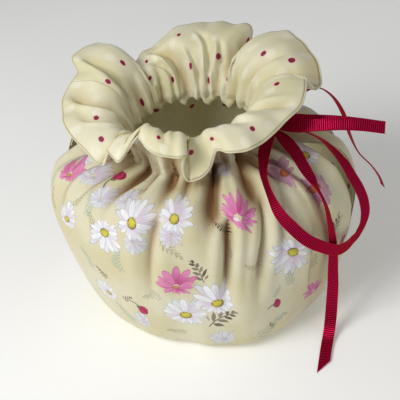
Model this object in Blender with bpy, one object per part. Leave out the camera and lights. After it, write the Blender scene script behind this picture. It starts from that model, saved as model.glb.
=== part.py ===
"""A drawstring tea cosy, standing on its turned-in hem.

Two floral outer panels and two dotted lining panels make one hollow, round-bellied cover.
The panels are sewn to each other at the sides, above and below the handle slot (+X) and the
spout hole (-X). A drawstring gathers them at the neck, above which they open into a frill
that curls outwards and shows the lining. The drawstring is a flat ribbon, tied in a bow on
the handle side. The pot that fills the cosy isn't part of it, so the cosy is hollow and open
at the top, the bottom and both sides.

Tables are in millimetres and degrees; the meshes are in metres, +Z up, with the origin under
the middle of the cosy. Angles run anticlockwise from the handle side, seen from above.
"""

import bpy
import bmesh
import numpy as np
from mathutils import Vector

MM = 0.001

# ---- driving sizes ----
CLOTH = 1.2  # thickness of each cloth
PLY_GAP = 0.3  # between the outer cloth and its lining
SEAM_GAP = 0.3  # between the two panels at a side seam
RIBBON_WIDTH = 7.0
RIBBON_THICKNESS = 0.6
RIBBON_STEP = 5.0  # between the sections of a ribbon
KNOT_CENTRE = (49.3, -1.2, 118.4)
KNOT_RADII = (4.4, 5.2, 4.0)
PANEL_COLUMNS = 30  # facets across one panel
PUFF = 3.0  # most air between the two cloths of the frill
HEM_FLAT = 1.2  # the station up to which the hem lies flat on what it stands on
SEAM = 0.0001  # degrees: a panel's side edge, just to its own side of the seam

# The cosy's outline from the hem's edge to the throat, half-way through the cloths.
# stretch: how much wider it is along X; pull: how far the handle and spout push it out.
OUTLINE = (
    # station, radius, height, stretch, pull
    (0.0, 49.0, 1.35, 0.10, 0.00),
    (1.0, 57.0, 1.35, 0.11, 0.00),
    (2.0, 65.5, 4.0, 0.12, 0.01),
    (3.0, 71.0, 18.0, 0.12, 0.04),
    (4.0, 74.0, 42.0, 0.12, 0.09),
    (5.0, 75.5, 74.0, 0.12, 0.14),
    (6.0, 70.0, 96.5, 0.12, 0.14),
    (7.0, 58.0, 107.0, 0.11, 0.10),
    (8.0, 45.0, 111.5, 0.06, 0.04),
    (9.0, 37.5, 114.0, 0.01, 0.00),
    (10.0, 36.0, 119.0, 0.00, 0.00),
)
NECK_DROP = 7.0  # how far the front of the neck sags below the back
CREASE_SINK = 1.1  # radians: how far downwards the creases sink on the shoulder
THROAT = 10.0  # the station where the frill starts
RIM = 14.0  # the station of the frill's edge

# The frill's edge, all the way round. place is the angle that the row is sewn at, and angle
# is where it ends up, so the edge can lean over its neighbour; lift is how far the arch that
# carries the edge is drawn above it.
RIM_LINE = (
    # place, angle, reach, height, lift
    (4.0, 8.0, 68.5, 147.5, 6.0),
    (9.5, 7.5, 74.0, 140.5, 8.0),
    (17.0, 12.0, 77.5, 140.5, 8.0),
    (30.0, 28.5, 79.0, 143.5, 7.0),
    (42.0, 41.5, 78.0, 147.0, 6.0),
    (50.0, 49.5, 77.0, 147.5, 5.0),
    (57.0, 56.0, 66.0, 146.0, 5.0),
    (62.0, 61.5, 61.0, 139.5, 5.0),
    (72.0, 71.5, 71.5, 144.5, 6.0),
    (88.0, 87.0, 71.0, 146.5, 7.0),
    (100.0, 99.0, 69.5, 147.5, 7.0),
    (111.0, 110.0, 66.5, 146.5, 6.0),
    (124.0, 124.0, 63.0, 140.0, 6.0),
    (134.0, 133.0, 60.0, 138.5, 5.0),
    (142.0, 141.0, 56.0, 138.0, 4.0),
    (152.0, 150.0, 76.0, 150.0, 6.0),
    (164.0, 162.5, 80.0, 148.5, 7.0),
    (176.0, 173.0, 70.0, 145.0, 7.0),
    (187.0, 185.0, 73.5, 138.5, 8.0),
    (202.0, 200.0, 72.0, 134.5, 9.0),
    (222.0, 220.5, 65.5, 128.0, 15.0),
    (231.5, 230.5, 61.5, 121.0, 20.0),
    (235.5, 232.0, 57.0, 131.5, 16.0),
    (243.0, 242.5, 57.5, 126.0, 20.0),
    (250.0, 249.5, 46.0, 139.0, 14.0),
    (258.0, 260.0, 52.0, 138.0, 17.5),
    (269.0, 270.5, 57.5, 137.0, 18.5),
    (279.0, 281.0, 58.5, 135.5, 18.0),
    (284.5, 285.5, 55.0, 134.0, 18.0),
    (288.5, 283.8, 48.6, 112.5, 39.0),
    (293.0, 290.5, 49.5, 114.5, 37.0),
    (296.5, 298.5, 51.0, 121.5, 29.5),
    (300.5, 301.5, 52.5, 132.0, 19.0),
    (306.5, 306.5, 62.0, 135.0, 17.5),
    (319.0, 317.0, 67.5, 136.0, 16.5),
    (336.0, 336.0, 66.5, 138.0, 13.0),
    (350.0, 351.0, 70.5, 142.5, 8.0),
)

# The creases that the gathers leave in the belly and the shoulder.
# top and foot are the stations between which one runs; depth is below the cloth around it,
# and a negative depth swells.
CREASES = (
    # top angle, foot angle, top, foot, half width, depth
    (305.0, 289.5, 9.2, 4.4, 5.0, 6.4),
    (268.0, 259.5, 9.2, 4.0, 4.8, 5.0),
    (328.5, 307.0, 9.2, 4.2, 5.0, 6.2),
    (338.5, 335.0, 8.6, 3.4, 4.6, 4.8),
    (243.0, 237.0, 9.2, 5.6, 4.8, 4.2),
    (226.0, 219.0, 9.2, 5.0, 4.8, 3.8),
    (207.5, 209.0, 9.0, 4.6, 4.6, 4.0),
    (192.0, 196.0, 8.8, 5.6, 4.6, 2.8),
    (352.0, 347.0, 8.8, 5.0, 4.6, 3.4),
    (18.0, 22.0, 9.0, 3.6, 5.0, 5.0),
    (41.0, 47.0, 9.0, 4.2, 5.0, 4.6),
    (66.0, 64.0, 9.0, 3.4, 5.0, 5.2),
    (88.0, 94.0, 9.0, 4.4, 5.0, 4.6),
    (112.0, 110.0, 9.0, 3.7, 5.0, 5.0),
    (134.0, 141.0, 9.0, 4.3, 5.0, 4.6),
    (158.0, 156.0, 9.0, 3.9, 5.0, 4.4),
    (301.0, 299.0, 4.4, 0.6, 15.0, -5.6),
    (281.0, 281.0, 3.6, 0.6, 7.0, -1.8),
    (262.0, 262.0, 4.0, 0.9, 12.0, -1.6),
    (322.0, 322.0, 4.0, 0.9, 9.0, -1.4),
)

# Where the side seams are left open. half_width is how far the edges stand from the seam.
OPENINGS = (
    # seam angle, bottom station, top station, half width
    (0.0, 3.3, 7.3, 10.5),
    (180.0, 4.3, 7.5, 16.0),
)

# The ribbons' routes, each from the knot. turn is how far the flat of the ribbon is turned
# about its own length from FACING, or, where the ribbon folds back, from standing on edge along
# UPRIGHT; share is its part of the full width, as the knot pinches it.
FACING = (-0.28, 0.76, -0.59)
UPRIGHT = (0.0, 0.61, 0.79)
LOWER_LOOP = (
    # x, y, z, turn, share
    (50.0, -7.8, 118.0, -25, 0.6),
    (48.5, -18.0, 116.6, -18, 1.0),
    (50.0, -31.0, 115.2, -44, 1.0),
    (53.0, -43.2, 113.0, -66, 1.0),
    (57.5, -51.2, 107.8, -60, 1.0),
    (62.5, -55.5, 100.0, -32, 1.0),
    (68.5, -55.5, 91.0, -8, 1.0),
    (75.5, -53.5, 81.0, 0, 1.0),
    (82.5, -47.5, 71.5, -4, 1.0),
    (89.0, -39.8, 63.0, -18, 1.0),
    (92.5, -30.5, 57.5, -32, 1.0),
    (95.0, -20.5, 54.0, -45, 1.0),
    (97.5, -12.0, 53.0, -52, 1.0),
    (99.8, -7.0, 56.2, -50, 1.0),
    (101.0, -4.0, 62.0, -34, 1.0),
    (100.3, -2.0, 69.0, -26, 1.0),
    (97.7, -0.5, 77.0, -26, 1.0),
    (93.5, 0.5, 85.5, -30, 1.0),
    (88.8, 1.2, 94.5, -40, 1.0),
    (82.8, 1.0, 103.4, -56, 1.0),
    (75.5, 0.6, 111.3, -74, 1.0),
    (66.0, 0.2, 116.2, -78, 0.9),
    (56.8, -0.2, 117.4, -74, 0.6),
)
UPPER_LOOP = (
    (54.5, -4.6, 121.8, 30, 0.6),
    (63.0, -6.4, 123.4, 10, 1.0),
    (75.0, -6.4, 124.8, 0, 1.0),
    (90.0, -4.6, 125.0, 0, 1.0),
    (102.0, -2.2, 123.2, 0, 1.0),
    (109.0, 0.2, 120.8, 0, 1.0),
    (112.0, 1.6, 119.5, 0, 1.0),
    (112.4, 3.0, 118.6, 0, 1.0),
    (110.4, 4.2, 118.0, 0, 1.0),
    (99.0, 4.6, 119.2, 0, 1.0),
    (85.0, 4.0, 120.8, 0, 1.0),
    (70.0, 3.2, 121.4, 0, 1.0),
    (60.0, 2.6, 121.6, 10, 1.0),
    (54.5, 2.0, 121.6, 30, 0.6),
)
LONG_TAIL = (
    (54.2, -6.5, 117.4, 20, 0.6),
    (58.6, -10.2, 115.9, 8, 1.0),
    (65.7, -17.0, 112.0, 10, 1.0),
    (71.0, -24.5, 108.8, 20, 1.0),
    (75.8, -29.8, 105.0, 40, 1.0),
    (79.3, -32.8, 101.0, 68, 1.0),
    (82.3, -34.5, 95.5, 72, 1.0),
    (84.5, -36.0, 89.0, 66, 1.0),
    (85.6, -36.8, 82.0, 58, 1.0),
    (86.2, -36.2, 74.5, 48, 1.0),
    (86.4, -35.0, 66.0, 40, 1.0),
    (86.4, -35.0, 56.0, 32, 1.0),
    (86.0, -36.5, 45.0, 22, 1.0),
    (85.6, -38.0, 33.0, 10, 1.0),
    (84.7, -39.2, 21.5, 2, 1.0),
    (84.0, -41.2, 12.0, -8, 1.0),
    (83.5, -45.2, 5.6, -17, 1.0),
    (83.2, -50.8, 2.2, -24, 1.0),
    (83.2, -57.6, 1.2, -28, 1.0),
    (83.5, -64.7, 0.9, -30, 1.0),
    (83.9, -72.0, 0.9, -31, 1.0),
)
SHORT_TAIL = (
    (49.8, 5.8, 119.6, 66, 0.6),
    (55.0, 16.0, 122.5, 72, 1.0),
    (62.0, 31.0, 123.0, 78, 1.0),
    (70.0, 41.4, 119.2, 78, 1.0),
    (76.7, 44.0, 112.0, 70, 1.0),
    (83.1, 40.5, 103.0, 62, 1.0),
    (87.7, 33.2, 92.9, 68, 1.0),
    (94.0, 26.6, 83.7, 78, 1.0),
    (102.0, 24.0, 76.0, 78, 1.0),
    (107.0, 21.5, 69.0, 72, 1.0),
    (108.6, 20.0, 65.0, 68, 1.0),
)
LONG_TAIL_SLANT = 4.6  # how far the cut end's long corner runs past its middle
SHORT_TAIL_SLANT = -2.4  # cut the other way

# Stations at which the cloths are meshed: closest where they turn sharply. The lining leaves
# out the first LINING_SHORT of them, because it stops short of the hem's edge.
STATIONS = (
    0.0, 0.6, 1.2, 2.0, 2.8, 3.6, 4.4, 5.1, 5.7, 6.3, 6.9, 7.5, 8.1, 8.7, 9.3, 10.0, 11.3, 12.7, 14.0,
)  # fmt: skip
LINING_SHORT = 2


def column(rows, index):
    return np.array([row[index] for row in rows], float)


def ease_through(knots, values, at):
    """A monotone cubic curve through the knots, read at each value of at."""
    step = np.diff(knots)
    rise = np.diff(values) / step
    slope = np.zeros(len(knots))
    slope[0], slope[-1] = rise[0], rise[-1]
    turns = rise[:-1] * rise[1:] <= 0
    inner = 2 * rise[:-1] * rise[1:] / np.where(turns, 1.0, rise[:-1] + rise[1:])
    slope[1:-1] = np.where(turns, 0.0, inner)
    left = np.clip(np.searchsorted(knots, at, side="right") - 1, 0, len(knots) - 2)
    t = (at - knots[left]) / step[left]
    return (
        (1 + 2 * t) * (1 - t) ** 2 * values[left]
        + t * (1 - t) ** 2 * step[left] * slope[left]
        + t**2 * (3 - 2 * t) * values[left + 1]
        + t**2 * (t - 1) * step[left] * slope[left + 1]
    )


def ease_round(knots, values, at, turn=0.0):
    """The same curve on a closed ring of 360 degrees; turn is added to the values each lap."""
    laps = np.arange(-1, 2)
    ring = np.concatenate([knots + 360 * lap for lap in laps])
    level = np.concatenate([values + turn * lap for lap in laps])
    return ease_through(ring, level, np.mod(at, 360)) + turn * np.floor(at / 360)


def smooth_step(t):
    t = np.clip(t, 0, 1)
    return t * t * (3 - 2 * t)


def apart(angle, other):
    """Signed degrees from one angle to another, between -180 and 180."""
    return (angle - other + 180) % 360 - 180


def front_share(angle):
    """How far round to the front an angle is: 1 at the front, 0 from the side seams back."""
    return np.clip(-np.sin(np.radians(angle + 10)), 0, 1) ** 1.3


def crease_depth(angle, station):
    """How far the creases draw the cloth in, each with a soft ridge on both sides."""
    depth = np.zeros(np.broadcast(angle, station).shape)
    for top_angle, foot_angle, top, foot, half_width, deep in CREASES:
        down = np.clip((top - station) / (top - foot), 0, 1)
        centre = top_angle + (foot_angle - top_angle) * down
        across = np.abs(apart(angle, centre)) / half_width
        fade = smooth_step((top - station) / 0.8 + 0.35)
        fade = fade * smooth_step((station - foot) / (0.5 * (top - foot)))
        depth += deep * fade * (np.exp(-(across**1.6)) - 0.3 * np.exp(-((across - 2.0) ** 2)))
    return depth


def body_point(angle, station):
    """A point half-way through the cloths, from the hem to the throat."""
    knots = column(OUTLINE, 0)
    at = np.minimum(station, THROAT)
    radius, height, stretch, pull = (ease_through(knots, column(OUTLINE, i), at) for i in range(1, 5))
    lean = np.cos(np.radians(angle))
    wide = 1 + stretch * lean**2 + pull * np.abs(lean) ** 6
    drop = NECK_DROP * front_share(angle) * smooth_step((at - 6) / 2.5)
    sink = CREASE_SINK * smooth_step((at - 4.6) / 2.6) * smooth_step((THROAT - at) / 1.4)
    crease = crease_depth(angle, station)
    return radius * wide - crease * np.cos(sink), height - drop - crease * np.sin(sink)


def frill_point(place, station):
    """A point half-way through the cloths of the frill: an arch from the throat to the rim."""
    rise = np.clip((station - THROAT) / (RIM - THROAT), 0, 1)
    near, low = body_point(place, np.full_like(station, THROAT))
    knots = column(RIM_LINE, 0)
    angle = ease_round(knots, column(RIM_LINE, 1), place, turn=360)
    reach = ease_round(knots, column(RIM_LINE, 2), place)
    height = ease_round(knots, column(RIM_LINE, 3), place)
    crown_radius = near + 0.22 * (reach - near)
    crown_height = height + ease_round(knots, column(RIM_LINE, 4), place)
    stay, swing, go = (1 - rise) ** 2, 2 * rise * (1 - rise), rise**2
    return (
        place + (angle - place) * rise,
        stay * near + swing * crown_radius + go * reach,
        stay * low + swing * crown_height + go * height,
    )


def opened(place, station):
    """The angle that a place of the cloth moves to where a side seam is left open."""
    angle = place + 0.0 * station
    for seam, bottom, top, half_width in OPENINGS:
        inside = np.clip((station - bottom) / (top - bottom), 0, 1)
        stand_off = half_width * np.sin(np.pi * inside) ** 0.75 + SEAM_GAP / 2
        radius = body_point(np.full_like(angle, seam), station)[0]
        shift = np.degrees(stand_off / radius)
        gap = apart(place, seam)
        angle = angle + np.sign(gap) * shift * (1 - smooth_step(np.abs(gap) / 55))
    return angle


def middle_surface(place, station):
    """x, y, z half-way through the cloths, in millimetres."""
    shifted = opened(place, station)
    radius, height = body_point(shifted, station)
    angle, frill_radius, frill_height = frill_point(shifted, station)
    above = station > THROAT
    angle = np.radians(np.where(above, angle, shifted))
    radius = np.where(above, frill_radius, radius)
    height = np.where(above, frill_height, height)
    return np.stack([radius * np.cos(angle), radius * np.sin(angle), height], -1)


def cloth_face(start, end, stations, side, depth):
    """The points of one face of a cloth, from one side seam of its panel to the other.

    side is 1 for the floral cloth and -1 for the lining; depth is how far the face is from
    the gap between them.
    """
    place, station = np.meshgrid(np.linspace(start, end, PANEL_COLUMNS + 1), np.array(stations))
    before, after = np.maximum(place - 0.4, start), np.minimum(place + 0.4, end)
    below, above = np.maximum(station - 0.05, 0), np.minimum(station + 0.05, RIM)
    across = middle_surface(after, station) - middle_surface(before, station)
    along = middle_surface(place, above) - middle_surface(place, below)
    normal = np.cross(across, along)
    normal /= np.linalg.norm(normal, axis=-1, keepdims=True)
    rise = np.clip((station - THROAT) / (RIM - THROAT), 0, 1)
    gap = PLY_GAP / 2 + PUFF / 2 * np.sin(np.pi * rise) ** 2
    points = middle_surface(place, station) + side * (gap + depth)[..., None] * normal
    if side > 0:
        points[..., 2] = np.where(station <= HEM_FLAT, CLOTH - depth, points[..., 2])
    return points


def make_object(name, mesh_data, finish):
    mesh = bpy.data.meshes.new(name)
    mesh_data.to_mesh(mesh)
    mesh_data.free()
    mesh.materials.append(finish)
    mesh.shade_smooth()
    mesh.set_sharp_from_angle(angle=np.radians(50))
    made = bpy.data.objects.new(name, mesh)
    bpy.context.scene.collection.objects.link(made)
    return made


def cloth_panel(name, start, end, stations, side, finish):
    """One panel of one cloth as a closed sheet."""
    near = cloth_face(start, end, stations, side, 0.0)
    far = cloth_face(start, end, stations, side, CLOTH)
    outer, inner = (far, near) if side > 0 else (near, far)
    built = bmesh.new()
    faces = []
    for grid in (outer, inner):
        faces.append([[built.verts.new(Vector(p) * MM) for p in row] for row in grid])
    front, back = faces
    rows, columns = len(stations), PANEL_COLUMNS + 1
    for r in range(rows - 1):
        for c in range(columns - 1):
            for sheet in (front, back):
                low, high = sheet[r][c], sheet[r + 1][c + 1]
                built.faces.new([low, sheet[r][c + 1], high])
                built.faces.new([low, high, sheet[r + 1][c]])
    for r in range(rows - 1):
        for c in (0, columns - 1):
            built.faces.new([front[r][c], front[r + 1][c], back[r + 1][c], back[r][c]])
    for c in range(columns - 1):
        for r in (0, rows - 1):
            built.faces.new([front[r][c], back[r][c], back[r][c + 1], front[r][c + 1]])
    bmesh.ops.recalc_face_normals(built, faces=built.faces)
    return make_object(name, built, finish)


def ribbon_route(rows):
    """Points along a ribbon, its direction, how far it is turned and its share of full width."""
    knots = np.concatenate([[0.0], np.cumsum(np.linalg.norm(np.diff(rows[:, :3], axis=0), axis=1))])
    count = round(knots[-1] / RIBBON_STEP) + 1
    at = np.linspace(0, knots[-1], count)
    slope = np.gradient(rows, knots, axis=0)
    left = np.clip(np.searchsorted(knots, at, side="right") - 1, 0, len(knots) - 2)
    step = (knots[left + 1] - knots[left])[:, None]
    t = (at - knots[left])[:, None] / step
    read = (
        (1 + 2 * t) * (1 - t) ** 2 * rows[left]
        + t * (1 - t) ** 2 * step * slope[left]
        + t**2 * (3 - 2 * t) * rows[left + 1]
        + t**2 * (t - 1) * step * slope[left + 1]
    )
    points = read[:, :3]
    along = np.gradient(points, axis=0)
    along /= np.linalg.norm(along, axis=1, keepdims=True)
    return points, along, np.radians(read[:, 3]), read[:, 4]


def ribbon(name, rows, finish, slant=0.0, folds_back=False):
    """A flat ribbon swept along its route.

    slant lengthens one edge of the far end, as a diagonal cut does. folds_back is for a route
    that doubles back on itself: the ribbon's width stays near UPRIGHT round the bend.
    """
    points, along, turned, share = ribbon_route(np.array(rows, float))
    flat = np.cross(FACING, along)
    if folds_back:
        flat = UPRIGHT - (along @ UPRIGHT)[:, None] * along
    flat /= np.linalg.norm(flat, axis=1, keepdims=True)
    upright = np.cross(flat, along)
    across = np.cos(turned)[:, None] * flat + np.sin(turned)[:, None] * upright
    through = np.cross(along, across)
    half_width = RIBBON_WIDTH / 2 * share[:, None] * across
    half_thick = RIBBON_THICKNESS / 2 * through
    built = bmesh.new()
    sections = []
    for i in range(len(points)):
        corners = []
        for side, face in ((1, 1), (-1, 1), (-1, -1), (1, -1)):
            corner = points[i] + side * half_width[i] + face * half_thick[i]
            if i == len(points) - 1:
                corner = corner + side * slant * along[i]
            corners.append(built.verts.new(Vector(corner) * MM))
        sections.append(corners)
    for near, far in zip(sections, sections[1:]):
        for i in range(4):
            j = (i + 1) % 4
            built.faces.new([near[i], near[j], far[j]])
            built.faces.new([near[i], far[j], far[i]])
    built.faces.new(sections[0][::-1])
    built.faces.new(sections[-1])
    bmesh.ops.recalc_face_normals(built, faces=built.faces)
    return make_object(name, built, finish)


def ribbon_knot(finish):
    built = bmesh.new()
    bmesh.ops.create_uvsphere(built, u_segments=12, v_segments=8, radius=MM)
    bmesh.ops.scale(built, vec=KNOT_RADII, verts=built.verts)
    knot = make_object("ribbon_knot", built, finish)
    knot.location = Vector(KNOT_CENTRE) * MM
    return knot


def finish_of(name, colour, roughness):
    finish = bpy.data.materials.new(name)
    finish.use_nodes = True
    surface = finish.node_tree.nodes["Principled BSDF"]
    surface.inputs["Base Color"].default_value = (*colour, 1.0)
    surface.inputs["Roughness"].default_value = roughness
    surface.inputs["Metallic"].default_value = 0.0
    return finish


def clear_scene():
    for old in list(bpy.data.objects):
        bpy.data.objects.remove(old, do_unlink=True)


def make_cosy():
    floral = finish_of("floral cotton", (0.80, 0.70, 0.40), 0.75)
    dotted = finish_of("dotted cotton", (0.86, 0.80, 0.50), 0.75)
    for name, start, end in (("back", SEAM, 180 - SEAM), ("front", 180 + SEAM, 360 - SEAM)):
        cloth_panel(name + "_panel", start, end, STATIONS, 1, floral)
        cloth_panel(name + "_lining", start, end, STATIONS[LINING_SHORT:], -1, dotted)
    crimson = finish_of("crimson ribbon", (0.42, 0.01, 0.05), 0.5)
    ribbon_knot(crimson)
    ribbon("ribbon_upper_loop", UPPER_LOOP, crimson, folds_back=True)
    ribbon("ribbon_lower_loop", LOWER_LOOP, crimson)
    ribbon("ribbon_long_tail", LONG_TAIL, crimson, slant=LONG_TAIL_SLANT)
    ribbon("ribbon_short_tail", SHORT_TAIL, crimson, slant=SHORT_TAIL_SLANT)


clear_scene()
make_cosy()
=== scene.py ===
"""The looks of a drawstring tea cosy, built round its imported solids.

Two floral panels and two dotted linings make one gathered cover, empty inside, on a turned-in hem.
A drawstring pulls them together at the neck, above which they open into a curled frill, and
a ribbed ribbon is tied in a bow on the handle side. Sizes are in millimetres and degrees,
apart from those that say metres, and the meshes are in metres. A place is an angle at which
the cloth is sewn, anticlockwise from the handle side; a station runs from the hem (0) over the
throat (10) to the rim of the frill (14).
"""

import logging
import math
from abc import ABC, abstractmethod
from dataclasses import dataclass
from enum import Enum
from typing import Union

import bmesh
import bpy
import numpy as np
from mathutils import Matrix, Vector


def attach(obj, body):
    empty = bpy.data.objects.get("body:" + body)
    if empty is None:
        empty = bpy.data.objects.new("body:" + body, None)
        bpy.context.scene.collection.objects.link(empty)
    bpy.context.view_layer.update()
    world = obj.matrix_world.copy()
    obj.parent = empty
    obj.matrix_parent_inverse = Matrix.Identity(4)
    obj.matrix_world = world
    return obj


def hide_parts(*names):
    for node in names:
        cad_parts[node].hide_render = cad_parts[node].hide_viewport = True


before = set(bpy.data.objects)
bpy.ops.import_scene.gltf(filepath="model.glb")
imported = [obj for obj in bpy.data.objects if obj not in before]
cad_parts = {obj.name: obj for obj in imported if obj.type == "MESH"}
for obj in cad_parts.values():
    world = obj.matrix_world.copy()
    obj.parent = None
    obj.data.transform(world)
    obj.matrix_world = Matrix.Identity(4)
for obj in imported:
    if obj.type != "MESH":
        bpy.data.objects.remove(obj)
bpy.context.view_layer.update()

MM = 0.001
BODY = "root"
HALF_ROUND = 180.0
RIBBON_WIDTH = 7.0
RIB_PITCH = 1.2
Array = np.ndarray
Colour = tuple[float, float, float]
Socket = bpy.types.NodeSocket
Value = Union[float, "Signal"]

log = logging.getLogger("cosy")


# ---------------------------------------------------------------- curves


def smooth_step(t: Array) -> Array:
    """The curve 3t^2 - 2t^3, held at 0 below t = 0 and at 1 above t = 1."""
    t = np.clip(t, 0, 1)
    return t * t * (3 - 2 * t)


def apart(angle: Array, other: Array) -> Array:
    """Signed degrees from one angle to another, between -180 and 180."""
    return (angle - other + 180) % 360 - 180


def bump(value: Array, rise_from: float, full_from: float, full_to: float, gone: float) -> Array:
    """A hump: 0, then a smooth rise to 1, a level top and a smooth fall back to 0.

    Args:
        value: where to read it.
        rise_from, full_from: where the rise starts and ends.
        full_to, gone: where the fall starts and ends.

    Returns:
        The hump's height at each value.
    """
    up = smooth_step((value - rise_from) / (full_from - rise_from))
    down = smooth_step((gone - value) / (gone - full_to))
    return up * down


def join_cubic(t: Array, span: Array, ends: tuple[Array, Array], slopes: tuple[Array, Array]) -> Array:
    """The cubic through two ends with a given slope at each.

    Args:
        t: how far along it to read, from 0 to 1.
        span: the distance between the ends.
        ends: the values at both ends.
        slopes: the slopes there.

    Returns:
        The cubic at each t.
    """
    return (
        (1 + 2 * t) * (1 - t) ** 2 * ends[0]
        + t * (1 - t) ** 2 * span * slopes[0]
        + t**2 * (3 - 2 * t) * ends[1]
        + t**2 * (t - 1) * span * slopes[1]
    )


def ease_through(knots: Array, values: Array, at: Array) -> Array:
    """A monotone cubic curve through the knots.

    Each inner slope is the harmonic mean of the slopes on both sides, or nothing where the
    values turn, and a cubic joins each pair of knots.

    Args:
        knots: rising places of the knots.
        values: the value at each knot.
        at: places to read the curve at.

    Returns:
        The curve at each of those places.
    """
    step = np.diff(knots)
    rise = np.diff(values) / step
    slope = np.zeros(len(knots))
    slope[0], slope[-1] = rise[0], rise[-1]
    turns = rise[:-1] * rise[1:] <= 0
    mean = 2 * rise[:-1] * rise[1:] / np.where(turns, 1.0, rise[:-1] + rise[1:])
    slope[1:-1] = np.where(turns, 0.0, mean)
    left = np.clip(np.searchsorted(knots, at, side="right") - 1, 0, len(knots) - 2)
    t = (at - knots[left]) / step[left]
    ends, slopes = (values[left], values[left + 1]), (slope[left], slope[left + 1])
    return join_cubic(t, step[left], ends, slopes)


def ease_round(knots: Array, values: Array, at: Array, turn: float = 0.0) -> Array:
    """The same curve on a closed ring of 360 degrees.

    Args:
        knots: rising angles of the knots.
        values: the value at each knot.
        at: angles to read the curve at.
        turn: what each lap adds to the values.

    Returns:
        The curve at each of those angles.
    """
    laps = np.arange(-1, 2)
    ring = np.concatenate([knots + 360 * lap for lap in laps])
    level = np.concatenate([values + turn * lap for lap in laps])
    return ease_through(ring, level, np.mod(at, 360)) + turn * np.floor(at / 360)


def unit(vectors: Array) -> Array:
    """Each vector divided by its own length."""
    return vectors / np.maximum(np.linalg.norm(vectors, axis=-1, keepdims=True), 1e-9)


def run_along(points: Array) -> Array:
    """The distance along a line of points at each of them, from 0 at the first."""
    return np.concatenate([[0.0], np.cumsum(np.linalg.norm(np.diff(points, axis=0), axis=1))])


def front_share(angle: Array) -> Array:
    """1 at the front of the cosy and a little towards the spout, 0 all round the back."""
    return np.clip(-np.sin(np.radians(angle + 10)), 0, 1) ** 1.3


def round_ridge(wave: Array) -> Array:
    """|wave| from 0 to 1, its corner at 0 rounded off by a small amount under the root."""
    return (np.sqrt(wave**2 + 0.06) - 0.245) / 0.785


def valley(share: Array, power: float, lip: float) -> Array:
    """A bell across a valley, exp(-x^power), less a low lip of cloth on each side of it."""
    return np.exp(-(share**power)) - lip * np.exp(-((share - 2.0) ** 2))


# ---------------------------------------------------------------- the cosy's form

THROAT = 10.0
RIM = 14.0

# The outline half-way through the cloths. stretch: how much wider it is along X; pull: how
# far the handle and the spout push it out.
OUTLINE = np.array([
    # station, radius, height, stretch, pull
    (0.0, 49.0, 1.35, 0.10, 0.00),
    (1.0, 57.0, 1.35, 0.11, 0.00),
    (2.0, 65.5, 4.0, 0.12, 0.01),
    (3.0, 71.0, 18.0, 0.12, 0.04),
    (4.0, 74.0, 42.0, 0.12, 0.09),
    (5.0, 75.5, 74.0, 0.12, 0.14),
    (6.0, 70.0, 96.5, 0.12, 0.14),
    (7.0, 58.0, 107.0, 0.11, 0.10),
    (8.0, 45.0, 111.5, 0.06, 0.04),
    (9.0, 37.5, 114.0, 0.01, 0.00),
    (10.0, 36.0, 119.0, 0.00, 0.00),
])  # fmt: skip

# The frill's edge all the way round: where a row is sewn, where it ends up, how far out, how
# high, and how far above it the arch's middle is pulled.
RIM_LINE = np.array([
    # place, angle, reach, height, lift
    (4.0, 8.0, 68.5, 147.5, 6.0),
    (9.5, 7.5, 74.0, 140.5, 8.0),
    (17.0, 12.0, 77.5, 140.5, 8.0),
    (30.0, 28.5, 79.0, 143.5, 7.0),
    (42.0, 41.5, 78.0, 147.0, 6.0),
    (50.0, 49.5, 77.0, 147.5, 5.0),
    (57.0, 56.0, 66.0, 146.0, 5.0),
    (62.0, 61.5, 61.0, 139.5, 5.0),
    (72.0, 71.5, 71.5, 144.5, 6.0),
    (88.0, 87.0, 71.0, 146.5, 7.0),
    (100.0, 99.0, 69.5, 147.5, 7.0),
    (111.0, 110.0, 66.5, 146.5, 6.0),
    (124.0, 124.0, 63.0, 140.0, 6.0),
    (134.0, 133.0, 60.0, 138.5, 5.0),
    (142.0, 141.0, 56.0, 138.0, 4.0),
    (152.0, 150.0, 76.0, 150.0, 6.0),
    (164.0, 162.5, 80.0, 148.5, 7.0),
    (176.0, 173.0, 70.0, 145.0, 7.0),
    (187.0, 185.0, 73.5, 138.5, 8.0),
    (202.0, 200.0, 72.0, 134.5, 9.0),
    (222.0, 220.5, 65.5, 128.0, 15.0),
    (231.5, 230.5, 61.5, 121.0, 20.0),
    (235.5, 232.0, 57.0, 131.5, 16.0),
    (243.0, 242.5, 57.5, 126.0, 20.0),
    (250.0, 249.5, 46.0, 139.0, 14.0),
    (258.0, 260.0, 52.0, 138.0, 17.5),
    (269.0, 270.5, 57.5, 137.0, 18.5),
    (279.0, 281.0, 58.5, 135.5, 18.0),
    (284.5, 285.5, 55.0, 134.0, 18.0),
    (288.5, 283.8, 48.6, 112.5, 39.0),
    (293.0, 290.5, 49.5, 114.5, 37.0),
    (296.5, 298.5, 51.0, 121.5, 29.5),
    (300.5, 301.5, 52.5, 132.0, 19.0),
    (306.5, 306.5, 62.0, 135.0, 17.5),
    (319.0, 317.0, 67.5, 136.0, 16.5),
    (336.0, 336.0, 66.5, 138.0, 13.0),
    (350.0, 351.0, 70.5, 142.5, 8.0),
])  # fmt: skip

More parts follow.
